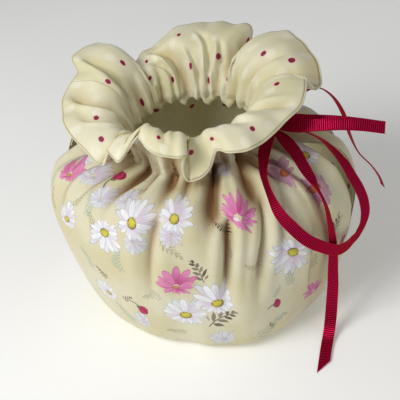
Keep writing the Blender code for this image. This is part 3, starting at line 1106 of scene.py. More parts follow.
def weave_group() -> bpy.types.NodeTree:
    """Plain weave: threads run over and under each other, each a rounded ridge.

    Returns:
        A group that gives Height, the ridges, and Tone, which varies a little from thread to
        thread.
    """
    net = GroupNet(
        "plain weave",
        {"Place": "Vector", "Pitch": "Float"},
        {"Height": "Float", "Tone": "Float"},
    )
    x, y, _ = net.parts(net.given("Place"))
    x, y = x / net.given("Pitch"), y / net.given("Pitch")
    column, row = x.maths("FLOOR"), y.maths("FLOOR")
    over = (column + row).maths("PINGPONG", 1.0)
    warp = (x.maths("FRACT") * math.pi).maths("SINE")
    weft = (y.maths("FRACT") * math.pi).maths("SINE")
    net.give("Height", warp * over + weft * (1.0 - over))
    slub = net.noise(net.join(x * 0.05, y * 0.9), 1.0)
    cross = net.noise(net.join(x * 0.9, y * 0.05), 1.0)
    net.give("Tone", (slub + cross) * 0.5)
    return net.tree


def daisy_group() -> bpy.types.NodeTree:
    """A many-petalled flower in its motif's own coordinates.

    Each petal is a slim ellipse along a ray from the heart, of its own length, in two rings of
    which the lower shows between the upper. Lean draws the petals out on one side and shortens
    them on the other, as in a flower seen from the side. Veins are fine lines along a petal,
    and its edge is drawn in the same colour.

    Returns:
        A group that gives Colour and Mask.
    """
    net = GroupNet(
        "daisy",
        {"Place": "Vector", "Petals": "Float", "Width": "Float", "Lean": "Float",
         "Petal": "Color", "Vein": "Color", "Blush": "Color", "Heart": "Color",
         "Stipple": "Color", "Heart Size": "Float"},
        {"Colour": "Color", "Mask": "Float"},
    )  # fmt: skip
    x, y, seed = net.parts(net.given("Place"))
    radius = (x.squared() + y.squared()).maths("SQRT")
    tilt = y / radius.at_least(0.001)
    reach = radius / (1.0 + net.given("Lean") * tilt)
    turned = (y.maths("ARCTAN2", x) + math.pi) / (2 * math.pi)
    around = (turned + seed) * net.given("Petals")
    masks, colours = [], []
    for shift in (0.0, 0.5):
        at = around + shift
        number = at.maths("FLOOR")
        wrapped = number.maths("FLOORED_MODULO", net.given("Petals"))
        luck = net.chance(wrapped * 1.31 + (seed * 91.0 + 7 * shift))
        aside = at - number - 0.5
        aside = aside + (luck - 0.5) * 0.30
        angle = aside / net.given("Petals") * (2 * math.pi)
        along = reach * angle.maths("COSINE")
        across = reach * angle.maths("SINE")
        tip = 0.72 + luck * 0.28
        lengthwise = (along - tip * 0.58) / (tip * 0.42)
        widthwise = across / net.given("Width")
        edge = lengthwise.squared() + widthwise.squared()
        masks.append(edge.ramp(0.90, 1.06, 1.0, 0.0))
        wave = (across * 90.0 + luck * 6.0).maths("SINE")
        veins = wave.ramp(0.0, 0.9) * along.ramp(0.85, 0.35, 0.0, 0.6)
        tone = veins.at_least(edge.ramp(0.55, 1.0, 0.0, 0.85))
        tone = tone * 0.75 + luck.ramp(0.3, 1.0, 0.25 * shift, 0.1 + 0.4 * shift)
        petal = net.tint(tone, net.given("Petal"), net.given("Vein"))
        flush = along.ramp(0.75, 0.2) * luck.ramp(0.25, 0.8)
        colours.append(net.tint(flush, petal, net.given("Blush")))
    flower = net.tint(masks[0], colours[1], colours[0])
    shown = masks[0].at_least(masks[1])
    core = (x.squared() + (y / 0.86).squared()).maths("SQRT") / net.given("Heart Size")
    speck = net.noise(net.join(x * 14.0, y * 14.0, seed), 1.0)
    ringed = core.ramp(0.55, 0.85) * speck.ramp(0.42, 0.52)
    heart = net.tint(ringed, net.given("Heart"), net.given("Stipple"))
    shaded = (y + x * -0.3).ramp(-0.18, 0.05, 0.35, 0.0)
    heart = net.tint(shaded, heart, net.given("Stipple"))
    in_heart = (core + (speck - 0.5) * 0.3).ramp(0.9, 1.1, 1.0, 0.0)
    net.give("Colour", net.tint(in_heart, flower, heart))
    net.give("Mask", shown.at_least(in_heart))
    return net.tree


def spray_group() -> bpy.types.NodeTree:
    """A bent stem with pairs of leaves, in its motif's own coordinates.

    Each leaf is a pointed oval that leaves the stem at a slope, the left ones half a step
    later, and the pairs get shorter towards the tip. Reach is how long the lowest is, Steps
    how many pairs there are in the motif's size, and Width a leaf's half width in steps.

    Returns:
        A group that gives Mask, and Tone, a number of each leaf's own.
    """
    net = GroupNet(
        "spray",
        {"Place": "Vector", "Steps": "Float", "Reach": "Float", "Slope": "Float",
         "Width": "Float", "Bend": "Float"},
        {"Mask": "Float", "Tone": "Float"},
    )  # fmt: skip
    x, y, seed = net.parts(net.given("Place"))
    bend = (y * 1.9 + seed * 6.0).maths("SINE") * net.given("Bend")
    side = x - bend
    out = side.maths("ABSOLUTE")
    climb = (y - out * net.given("Slope")) * net.given("Steps")
    step = climb + (side.ramp(-0.001, 0.001, 0.0, 0.5) + seed)
    number = step.maths("FLOOR")
    luck = net.chance(number + (seed * 17.0 + side.maths("SIGN")))
    length = net.given("Reach") * (y.ramp(1.2, -0.3, 0.25, 1.0) * (0.65 + luck * 0.35))
    share = (out / length).maths("MINIMUM", 1.0)
    off = (step - number - 0.5).maths("ABSOLUTE")
    blade = (share.maths("POWER", 0.8) * math.pi).maths("SINE")
    leaves = (net.given("Width") * blade - off).ramp(-0.02, 0.06)
    leaves = leaves * share.ramp(0.95, 1.0, 1.0, 0.0)
    stem = out.ramp(0.015, 0.05, 1.0, 0.0)
    within = y.ramp(0.9, 1.0, 1.0, 0.0) * y.ramp(-1.0, -0.92)
    rooted = y.ramp(-0.75, -0.65)
    net.give("Mask", (leaves * rooted).at_least(stem) * within)
    net.give("Tone", luck)
    return net.tree


def bud_group() -> bpy.types.NodeTree:
    """A closed flower: an oval of petals, a green cup below it and a bent stalk.

    Returns:
        A group that gives Colour and Mask.
    """
    net = GroupNet(
        "bud",
        {"Place": "Vector", "Petal": "Color", "Deep": "Color", "Green": "Color"},
        {"Colour": "Color", "Mask": "Float"},
    )
    x, y, seed = net.parts(net.given("Place"))
    wobble = net.noise(net.join(x * 2.2, y * 2.2, seed * 9.0), 1.0)
    oval = (x / 0.72).squared() + ((y - 0.25) / 0.68).squared()
    oval = oval + (wobble - 0.5) * 0.7
    petals = oval.ramp(0.85, 1.1, 1.0, 0.0)
    cup = ((x / 0.34).squared() + ((y + 0.42) / 0.3).squared()).ramp(0.8, 1.15, 1.0, 0.0)
    aside = x - (y * 1.6).maths("SINE") * 0.25
    stalk = (aside - 0.02).maths("ABSOLUTE").ramp(0.05, 0.12, 1.0, 0.0)
    stalk = stalk * (y.ramp(-0.3, -0.4) * y.ramp(-1.9, -1.7))
    streak = (x * 9.0 + wobble * 5.0).maths("SINE").ramp(-0.2, 0.9)
    colour = net.tint(streak, net.given("Petal"), net.given("Deep"))
    green = cup.at_least(stalk)
    net.give("Colour", net.tint(green * (1.0 - petals), colour, net.given("Green")))
    net.give("Mask", petals.at_least(green))
    return net.tree


def grosgrain_group() -> bpy.types.NodeTree:
    """Ribs across a ribbon between two smooth edges.

    Place is the distance along the ribbon and across it, in millimetres.

    Returns:
        A group that gives Rib, from 0 between the ribs to 1 on a rib, and Thread, the fine threads
        along the ribs.
    """
    net = GroupNet(
        "ribbed ribbon",
        {"Place": "Vector", "Pitch": "Float", "Half Width": "Float"},
        {"Rib": "Float", "Thread": "Float"},
    )
    along, across, _ = net.parts(net.given("Place"))
    wave = (along / net.given("Pitch") * (2 * math.pi)).maths("COSINE")
    share = across.maths("ABSOLUTE") / net.given("Half Width")
    inside = share.ramp(0.84, 0.93, 1.0, 0.0)
    rib = (0.5 + wave * 0.5) * inside
    net.give("Rib", rib + (1.0 - inside) * 0.6)
    net.give("Thread", net.noise(net.join(along * 6.0, across * 1.4), 1.0, 3.0))
    return net.tree


class Groups:
    """The node groups that the finishes share, each built once."""

    weave = weave_group()
    daisy = daisy_group()
    spray = spray_group()
    bud = bud_group()
    grosgrain = grosgrain_group()


# ---------------------------------------------------------------- the finishes


def srgb(code: str) -> Colour:
    """The linear colour of a six-digit code."""
    parts = [int(code[i : i + 2], 16) / 255 for i in (0, 2, 4)]
    return tuple(p / 12.92 if p <= 0.04045 else ((p + 0.055) / 1.055) ** 2.4 for p in parts)


def new_finish(name: str) -> tuple[bpy.types.Material, Net, bpy.types.Node]:
    """A new material.

    Args:
        name: what it is called.

    Returns:
        The material, a Net in its tree and its Principled BSDF.
    """
    finish = bpy.data.materials.new(name)
    finish.use_nodes = True
    net = Net(finish.node_tree)
    return finish, net, finish.node_tree.nodes["Principled BSDF"]


def set_sockets(surface: bpy.types.Node, **values: object) -> None:
    """Sets constants on the shader's own sockets, an underscore standing for a space."""
    for name, value in values.items():
        surface.inputs[name.replace("_", " ")].default_value = value


def raise_threads(
    net: Net, surface: bpy.types.Node, height: Signal, strength: float, distance: float
) -> None:
    """Raises the surface through a Bump node.

    Args:
        net: the material's net.
        surface: its Principled BSDF.
        height: from 0 to 1.
        strength: how much of the bump shows.
        distance: how high 1 stands, in metres.
    """
    bump_node = net.node("ShaderNodeBump")
    set_sockets(bump_node, Strength=strength, Distance=distance)
    net.feed(bump_node.inputs["Height"], height)
    net.feed(surface.inputs["Normal"], Signal(net, bump_node.outputs["Normal"]))


@dataclass(frozen=True)
class Cotton(ABC):
    """Plain-woven cotton: a clouded ground, a print, painted shade in its folds and by the neck, and
    the weave's threads.
    """

    name: str
    ground: Colour
    ground_light: Colour
    cloud_scale: float
    # The colour of the painted shade, and how much of it shows at full shade.
    painted_shade_colour: Colour
    painted_shade_share: float
    thread: Colour
    thread_share: float
    roughness: float
    sheen_roughness: float
    weave_strength: float
    pitch: float = 0.42
    weave_height: float = 0.00006

    def make(self) -> bpy.types.Material:
        """Builds the material.

        Returns:
            The material, which reads the UV map "cloth" and the attribute "hollow".
        """
        finish, net, surface = new_finish(self.name)
        cloth = net.source("ShaderNodeUVMap", "UV", uv_map="cloth")
        weave = net.group(Groups.weave, Place=cloth, Pitch=self.pitch)
        cloud = net.noise(cloth, self.cloud_scale, 3.0)
        colour = net.tint(cloud.ramp(0.35, 0.65), self.ground, self.ground_light)
        colour = self.printed(net, colour)
        # Painted shade: the colour goes towards the shade colour in the folds, by the neck and along
        # the rim.
        painted_shade = net.attribute("painted_shade", "Fac") * self.painted_shade_share
        colour = net.tint(painted_shade, colour, self.painted_shade_colour, "MULTIPLY")
        threads = weave["Tone"].ramp(0.3, 0.7, 0.0, self.thread_share)
        colour = net.tint(threads, colour, self.thread, "MULTIPLY")
        net.feed(surface.inputs["Base Color"], colour)
        set_sockets(
            surface, Roughness=self.roughness, Specular_IOR_Level=0.35,
            Sheen_Weight=0.12, Sheen_Roughness=self.sheen_roughness,
        )  # fmt: skip
        raise_threads(net, surface, weave["Height"], self.weave_strength, self.weave_height)
        return finish

    @abstractmethod
    def printed(self, net: Net, colour: Signal) -> Signal:
        """The ground with its print."""


@dataclass(frozen=True)
class Flower:
    """How one layer of printed flowers is drawn and coloured."""

    motif: Motif
    petals: float
    width: float
    lean: float
    petal: Colour
    vein: Colour
    blush: Colour
    heart: Colour
    stipple: Colour
    heart_size: float

    def over(self, net: Net, colour: Signal) -> Signal:
        """Lays the flowers over the cloth.

        Args:
            net: the material's net.
            colour: the cloth.

        Returns:
            The cloth with the flowers.
        """
        flower = net.group(
            Groups.daisy, Place=net.attribute(self.motif.value), Petals=self.petals,
            Width=self.width, Lean=self.lean, Petal=self.petal, Vein=self.vein,
            Blush=self.blush, Heart=self.heart, Stipple=self.stipple, Heart_Size=self.heart_size,
        )  # fmt: skip
        return net.tint(flower["Mask"] * 0.94, colour, flower["Colour"])


@dataclass(frozen=True)
class Foliage:
    """How one layer of printed sprays is drawn and coloured."""

    motif: Motif
    steps: float
    reach: float
    slope: float
    width: float
    bend: float
    shade: Colour
    cover: float

    def over(self, net: Net, colour: Signal) -> Signal:
        """Lays the sprays over the cloth.

        Args:
            net: the material's net.
            colour: the cloth.

        Returns:
            The cloth with the sprays.
        """
        spray = net.group(
            Groups.spray, Place=net.attribute(self.motif.value), Steps=self.steps,
            Reach=self.reach, Slope=self.slope, Width=self.width, Bend=self.bend,
        )  # fmt: skip
        mask = spray["Mask"] * spray["Tone"].ramp(0.0, 1.0, 0.6 * self.cover, self.cover)
        return net.tint(mask, colour, self.shade)


@dataclass(frozen=True)
class FloralCotton(Cotton):
    """Warm yellow cotton printed with daisies, buds, sprays and twigs."""

    name: str = "floral_cotton"
    ground: Colour = srgb("D8D0A8")
    ground_light: Colour = srgb("E0DBC0")
    cloud_scale: float = 0.03
    # painted shade: a brown for the folds and the underside of the frill
    painted_shade_colour: Colour = srgb("9A6A34")
    painted_shade_share: float = 0.9
    thread: Colour = srgb("C8B98C")
    thread_share: float = 0.10
    roughness: float = 0.62
    sheen_roughness: float = 0.5
    weave_strength: float = 0.35
    leaves: tuple[Foliage, ...] = (
        Foliage(Motif.LEAF, 3.4, 0.50, 1.1, 0.32, 0.25, srgb("9A9468"), 0.75),
        Foliage(Motif.SPRAY, 3.2, 0.55, 1.3, 0.34, 0.20, srgb("9DB09A"), 0.80),
        Foliage(Motif.TWIG, 2.4, 0.62, 0.8, 0.36, 0.15, srgb("4E4030"), 0.95),
    )
    flowers: tuple[Flower, ...] = (
        Flower(
            Motif.UNDER_DAISY, 9.0, 0.115, 0.35, srgb("E6E8EE"), srgb("8A8EA2"),
            srgb("D5C3DA"), srgb("C9C6D2"), srgb("8F93A6"), 0.12,
        ),
        Flower(
            Motif.MAUVE, 8.0, 0.135, 0.20, srgb("CDA0B4"), srgb("A0688C"),
            srgb("C890B4"), srgb("C4642C"), srgb("7A2A20"), 0.24,
        ),
        Flower(
            Motif.PINK, 8.0, 0.130, 0.50, srgb("E989BE"), srgb("A82C7C"),
            srgb("BE2A80"), srgb("C98A3A"), srgb("8A2A52"), 0.15,
        ),
        Flower(
            Motif.ROSE, 11.0, 0.080, 0.66, srgb("E98CC4"), srgb("A82C7C"),
            srgb("BE2A80"), srgb("EAE0E2"), srgb("D0A0B8"), 0.13,
        ),
        Flower(
            Motif.DAISY, 9.0, 0.120, 0.32, srgb("FAFBFF"), srgb("868BA2"),
            srgb("DCC8E0"), srgb("D6C931"), srgb("5A5618"), 0.24,
        ),
    )  # fmt: skip
    bud: Colour = srgb("C2245F")
    bud_deep: Colour = srgb("8A1444")
    bud_green: Colour = srgb("6C7A52")

    def printed(self, net: Net, colour: Signal) -> Signal:
        """Lays the leaves, then the flowers and then the buds over the ground.

        Args:
            net: the material's net.
            colour: the ground.

        Returns:
            The printed cloth.
        """
        for layer in (*self.leaves, *self.flowers):
            colour = layer.over(net, colour)
        bud = net.group(
            Groups.bud, Place=net.attribute(Motif.BUD.value),
            Petal=self.bud, Deep=self.bud_deep, Green=self.bud_green,
        )  # fmt: skip
        return net.tint(bud["Mask"], colour, bud["Colour"])


@dataclass(frozen=True)
class DottedCotton(Cotton):
    """Pale yellow cotton with small crimson dots and faint pale ones."""

    name: str = "dotted_cotton"
    ground: Colour = srgb("DFD9B0")
    ground_light: Colour = srgb("E8E3C6")
    cloud_scale: float = 0.035
    # painted shade: an ochre for the folds, the lining round the throat and its rim
    painted_shade_colour: Colour = srgb("CBA84C")
    painted_shade_share: float = 0.75
    thread: Colour = srgb("CFC394")
    thread_share: float = 0.08
    roughness: float = 0.5
    sheen_roughness: float = 0.45
    weave_strength: float = 0.3
    dot: Colour = srgb("8E1440")
    halo: Colour = srgb("EFC6BC")
    pale: Colour = srgb("F8F5E4")

    def printed(self, net: Net, colour: Signal) -> Signal:
        """Lays the pale dots, then the crimson ones with their soft halo over the ground.

        Args:
            net: the material's net.
            colour: the ground.

        Returns:
            The printed cloth.
        """
        pale = self.from_middle(net, Motif.PALE_DOT)
        colour = net.tint(pale.ramp(0.7, 1.6, 0.45, 0.0), colour, self.pale)
        dot = self.from_middle(net, Motif.DOT)
        colour = net.tint(dot.ramp(1.0, 1.75, 0.6, 0.0), colour, self.halo)
        return net.tint(dot.ramp(0.9, 1.06, 1.0, 0.0), colour, self.dot)

    def from_middle(self, net: Net, motif: Motif) -> Signal:
        """The distance from the middle of the nearest dot.

        Args:
            net: the material's net.
            motif: which dots.

        Returns:
            The distance in dot radii, a little uneven.
        """
        x, y, seed = net.parts(net.attribute(motif.value))
        wobble = net.noise(net.join(x, y, seed * 20.0), 1.3)
        away = (x.squared() + y.squared()).maths("SQRT")
        return away + (wobble - 0.5) * 0.25


@dataclass(frozen=True)
class RibbedRibbon:
    """Crimson ribbed ribbon; the much darker colour of its grooves is painted shade between the ribs.

    Its filament yarn throws back light of its own colour, as metal does, so the shader is
    partly metallic.
    """

    # painted shade: the dark crimson of the grooves between the ribs
    groove_shade: Colour = srgb("46000A")
    rib: Colour = srgb("D21C4E")
    thread: Colour = srgb("7A0424")
    shine: Colour = srgb("FF5C84")
    pitch: float = RIB_PITCH
    half_width: float = RIBBON_WIDTH / 2

    def make(self) -> bpy.types.Material:
        """Builds the material.

        Returns:
            The material, which reads the UV map "ribbon".
        """
        finish, net, surface = new_finish("crimson_ribbon")
        place = net.source("ShaderNodeUVMap", "UV", uv_map="ribbon")
        weave = net.group(
            Groups.grosgrain, Place=place, Pitch=self.pitch, Half_Width=self.half_width
        )
        # Painted shade: the grooves between the ribs get the dark colour.
        colour = net.tint(weave["Rib"].ramp(0.15, 0.85), self.groove_shade, self.rib)
        colour = net.tint(weave["Thread"].ramp(0.35, 0.65, 0.0, 0.25), colour, self.thread)
        net.feed(surface.inputs["Base Color"], colour)
        net.feed(surface.inputs["Roughness"], weave["Rib"].ramp(0.0, 1.0, 0.55, 0.30))
        set_sockets(
            surface, Metallic=0.75, Specular_IOR_Level=0.1, Specular_Tint=(*self.shine, 1.0)
        )
        raise_threads(net, surface, weave["Thread"], 0.25, 0.0001)
        return finish


# ---------------------------------------------------------------- the cloths


class Ply(Enum):
    """The two cloths, and the side of the gap between them on which each lies."""

    OUTER = 1
    LINING = -1


@dataclass(frozen=True)
class Cloth:
    """One panel of one cloth, which covers half of the ring.

    flat_size, the size that it was cut to, is in metres.
    """

    name: str
    node: str
    slot: str
    start: float
    end: float
    ply: Ply
    first_station: float
    flat_size: tuple[float, float]
    columns: int = 400
    thickness: float = 0.5
    ply_gap: float = 0.5
    roll: float = 0.85
    frill_dot: float = 1.7
    inner_dot: float = 1.9
    pale_dot: float = 2.6

    @property
    def outer(self) -> bool:
        """True for the outer cloth."""
        return self.ply is Ply.OUTER

    def stations(self) -> Array:
        """The stations of the mesh's rows, closest where the cloth is gathered.

        Returns:
            Rising stations, the last of which is the rim, or the lining's edge just below it.
        """
        spans = ((0.0, 3.0, 9), (3.0, 6.5, 20), (6.5, 9.2, 28), (9.2, 11.4, 26), (11.4, RIM, 24))
        rows = np.concatenate([np.linspace(a, b, n, endpoint=False) for a, b, n in spans])
        return np.append(rows[rows >= self.first_station], RIM if self.outer else RIM - 0.025)

    def offset(self, station: Array) -> Array:
        """How far this cloth's outward face lies from the middle of the gap.

        Half the gap, the thickness, the air in the frill as a sine-squared hump, and for the
        outer cloth the radius with which it rolls round the rim.

        Args:
            station: how far up the cloth.

        Returns:
            The distance at each station.
        """
        rise = np.clip((station - THROAT) / (RIM - THROAT), 0, 1)
        air = FORM.puff / 2 * np.sin(np.pi * rise) ** 2
        base = self.ply_gap / 2 + self.thickness + air
        if self.outer:
            return base + (self.roll - base) * smooth_step((rise - 0.86) / 0.14)
        return base - 0.10 * smooth_step((rise - 0.90) / 0.10)

    def points(self) -> tuple[Array, Array, Array]:
        """The outward face, flat on the table where the outer cloth's hem is turned in.

        Returns:
            Its points, with the place and the station of each.
        """
        columns = np.linspace(self.start, self.end, self.columns)
        place, station = np.meshgrid(columns, self.stations())
        normal, along = FORM.directions(place, station, self.start, self.end)
        middle = FORM.smooth(place, station) + FORM.relief(place, station)[..., None] * normal
        face = middle + self.ply.value * self.offset(station)[..., None] * normal
        if not self.outer:
            return face, place, station
        flat = smooth_step((1.9 - station) / 0.7)
        face[..., 2] = face[..., 2] * (1 - flat)
        extra = self.rolled(middle[-1], normal[-1], along[-1])
        more_place = np.broadcast_to(place[-1], extra.shape[:2])
        more_station = RIM + np.arange(1, len(extra) + 1)[:, None] * 0.04 + 0 * more_place
        return (
            np.concatenate([face, extra]),
            np.concatenate([place, more_place]),
            np.concatenate([station, more_station]),
        )

    def rolled(self, hub: Array, out: Array, way: Array) -> Array:
        """The rows that roll round the rim.

        They follow a circle about the rim, from below it to the lining's edge, and the last
        row is tucked in between the two cloths.

        Args:
            hub: the rim's points.
            out: the unit normals there.
            way: the unit directions in which the cloth arrives.

        Returns:
            The points of the added rows.
        """
        turn = np.radians([20, 45, 70, 90, 110, 130, 150])[:, None, None]
        bend = hub + self.roll * (np.cos(turn) * out + np.sin(turn) * way)
        tuck = hub - 0.4 * out - 0.3 * way
        return np.concatenate([bend, tuck[None]])

    def build(self, finish: bpy.types.Material) -> bpy.types.Object:
        """Args:
            finish: its material.

        Returns:
            The cloth.
        """
        face, place, station = self.points()
        mesh = grid_mesh(self.name, face, flip=not self.outer)
        flat = PLANE.flat(place.reshape(-1), station.reshape(-1))
        lay_map(mesh, "cloth", flat)
        # Each vertex's share of painted shade.
        lay_shade(mesh, "painted_shade", self.painted_shade(place, station))
        if self.outer:
            self.lay_print(mesh, flat)
        else:
            self.lay_dots(mesh, flat)
        piece = place_object(mesh, finish)
        thicken(piece, self.thickness)
        stand_for(piece, self.node, self.slot)
        log.info("%s: %d faces", self.name, len(mesh.polygons))
        return piece

    def painted_shade(self, place: Array, station: Array) -> Array:
        """How much painted shade each point gets, from how deep in a valley of the cloth it lies, seen
        from this cloth's own side.

        Args:
            place: where round the cosy.
            station: how far up the cloth.

        Returns:
            A number from 0, on a ridge, to 1, in full painted shade deep in a valley of the cloth, by
            the neck or along the lining's rim.
        """
        depth = -self.ply.value * FORM.relief(place, np.minimum(station, RIM))
        if self.outer:
            # Painted shade: the outer cloth is darker again in the creases of the belly.
            depth = depth + 0.75 * FORM.crease_depth(place, station) * (station < THROAT)
            # Painted shade under the frill, round the neck.
            dark = 2.6 * bump(station, 6.2, 8.6, 11.0, 13.4)
            full = 3.8
        else:
            # Painted shade on the lining round the throat.
            dark = 1.5 * bump(station, 7.0, 8.6, 10.0, 11.2)
            # Painted shade along the lining's edge, where the rolled rim meets it.
            dark = dark + 0.5 * bump(station, 13.80, 13.88, 13.92, 13.99)
            full = 6.4
        return np.clip((depth - 0.7 + dark) / full, 0, 1)

    def own(self, place: float) -> float:
        """The front's place, or the place on the back that is cut like it."""
        return place if self.start > HALF_ROUND else place - HALF_ROUND

    def lay_print(self, mesh: bpy.types.Mesh, flat: Array) -> None:
        """Lays every layer of the floral print."""
        for layer, rows in PRINT.items():
            lay_motifs(mesh, flat, layer, [(self.own(place), *rest) for place, *rest in rows])

    def lay_dots(self, mesh: bpy.types.Mesh, flat: Array) -> None:
        """Lays the lining's dots: those of the frill one by one, the rest in a half-drop.

        Args:
            mesh: the lining.
            flat: the flat point of each vertex.
        """
        rows = [(float(place), station, self.frill_dot, 0.0, 1.0) for place, station in DOTS]
        for row, station in enumerate((2.5, 3.7, 4.6, 5.5, 6.6, 7.7)):
            first = 9.0 + 9.0 * (row % 2)
            rows += [(first + 18.0 * i, station, self.inner_dot, 0.0, 1.0) for i in range(20)]
        lay_motifs(mesh, flat, Motif.DOT, rows)
        rows = []
        for row in range(10):
            first, station = 9.0 + 7.5 * (row % 2), 2.0 + 1.3 * row
            rows += [(first + 15.0 * i, station, self.pale_dot, 0.0, 1.0) for i in range(24)]
        lay_motifs(mesh, flat, Motif.PALE_DOT, rows)


# ---------------------------------------------------------------- the ribbon

# The ribbons' routes, each from the knot. turn is how far the flat of the ribbon is turned
# about its own length from FACING, or, where the ribbon folds back, from standing on edge along
# UPRIGHT; share is its part of the full width.
FACING = np.array([-0.28, 0.76, -0.59])
UPRIGHT = np.array([0.0, 0.61, 0.79])
LOWER_LOOP = np.array([
    # x, y, z, turn, share
    (50.0, -7.8, 118.0, -25, 0.6),
    (48.5, -18.0, 116.6, -18, 1.0),
    (50.0, -31.0, 115.2, -44, 1.0),
    (53.0, -43.2, 113.0, -66, 1.0),
    (57.5, -51.2, 107.8, -60, 1.0),
    (62.5, -55.5, 100.0, -32, 1.0),
    (68.5, -55.5, 91.0, -8, 1.0),
    (75.5, -53.5, 81.0, 0, 1.0),
    (82.5, -47.5, 71.5, -4, 1.0),
    (89.0, -39.8, 63.0, -18, 1.0),
    (92.5, -30.5, 57.5, -32, 1.0),
    (95.0, -20.5, 54.0, -45, 1.0),
    (97.5, -12.0, 53.0, -52, 1.0),
    (99.8, -7.0, 56.2, -50, 1.0),
    (101.0, -4.0, 62.0, -34, 1.0),
    (100.3, -2.0, 69.0, -26, 1.0),
    (97.7, -0.5, 77.0, -26, 1.0),
    (93.5, 0.5, 85.5, -30, 1.0),
    (88.8, 1.2, 94.5, -40, 1.0),
    (82.8, 1.0, 103.4, -56, 1.0),
    (75.5, 0.6, 111.3, -74, 1.0),
    (66.0, 0.2, 116.2, -78, 0.9),
    (56.8, -0.2, 117.4, -74, 0.6),
])  # fmt: skip
UPPER_LOOP = np.array([
    (54.5, -4.6, 121.8, 30, 0.6),
    (63.0, -6.4, 123.4, 10, 1.0),
    (75.0, -6.4, 124.8, 0, 1.0),
    (90.0, -4.6, 125.0, 0, 1.0),
    (102.0, -2.2, 123.2, 0, 1.0),
    (109.0, 0.2, 120.8, 0, 1.0),
    (112.0, 1.6, 119.5, 0, 1.0),
    (112.4, 3.0, 118.6, 0, 1.0),
    (110.4, 4.2, 118.0, 0, 1.0),
    (99.0, 4.6, 119.2, 0, 1.0),
    (85.0, 4.0, 120.8, 0, 1.0),
    (70.0, 3.2, 121.4, 0, 1.0),
    (60.0, 2.6, 121.6, 10, 1.0),
    (54.5, 2.0, 121.6, 30, 0.6),
])  # fmt: skip
LONG_TAIL = np.array([
    (51.8, -4.4, 118.2, 25, 0.6),
    (58.6, -10.2, 115.9, 8, 1.0),
    (65.7, -17.0, 112.0, 10, 1.0),
    (71.0, -24.5, 108.8, 20, 1.0),
    (75.8, -29.8, 105.0, 40, 1.0),
    (79.3, -32.8, 101.0, 68, 1.0),
    (82.3, -34.5, 95.5, 72, 1.0),
    (84.5, -36.0, 89.0, 66, 1.0),
    (85.6, -36.8, 82.0, 58, 1.0),
    (86.2, -36.2, 74.5, 48, 1.0),
    (86.4, -35.0, 66.0, 40, 1.0),
    (86.4, -35.0, 56.0, 32, 1.0),
    (86.0, -36.5, 45.0, 22, 1.0),
    (85.6, -38.0, 33.0, 10, 1.0),
    (84.7, -39.2, 21.5, 2, 1.0),
    (84.0, -41.2, 12.0, -8, 1.0),
    (83.5, -45.2, 5.6, -17, 1.0),
    (83.2, -50.8, 2.2, -24, 1.0),
    (83.2, -57.6, 1.2, -28, 1.0),
    (83.5, -64.7, 0.9, -30, 1.0),
    (83.9, -72.0, 0.9, -31, 1.0),
])  # fmt: skip
SHORT_TAIL = np.array([
    (49.8, 5.8, 119.6, 66, 0.6),
    (55.0, 16.0, 122.5, 72, 1.0),
    (62.0, 31.0, 123.0, 78, 1.0),
    (70.0, 41.4, 119.2, 78, 1.0),
    (76.7, 44.0, 112.0, 70, 1.0),
    (83.1, 40.5, 103.0, 62, 1.0),
    (87.7, 33.2, 92.9, 68, 1.0),
    (94.0, 26.6, 83.7, 78, 1.0),
    (102.0, 24.0, 76.0, 78, 1.0),
    (107.0, 21.5, 69.0, 72, 1.0),
    (108.6, 20.0, 65.0, 68, 1.0),
])  # fmt: skip


class FarEnd(Enum):
    """Where the far end of a ribbon is."""

    IN_KNOT = "object"
    FREE = "bare"


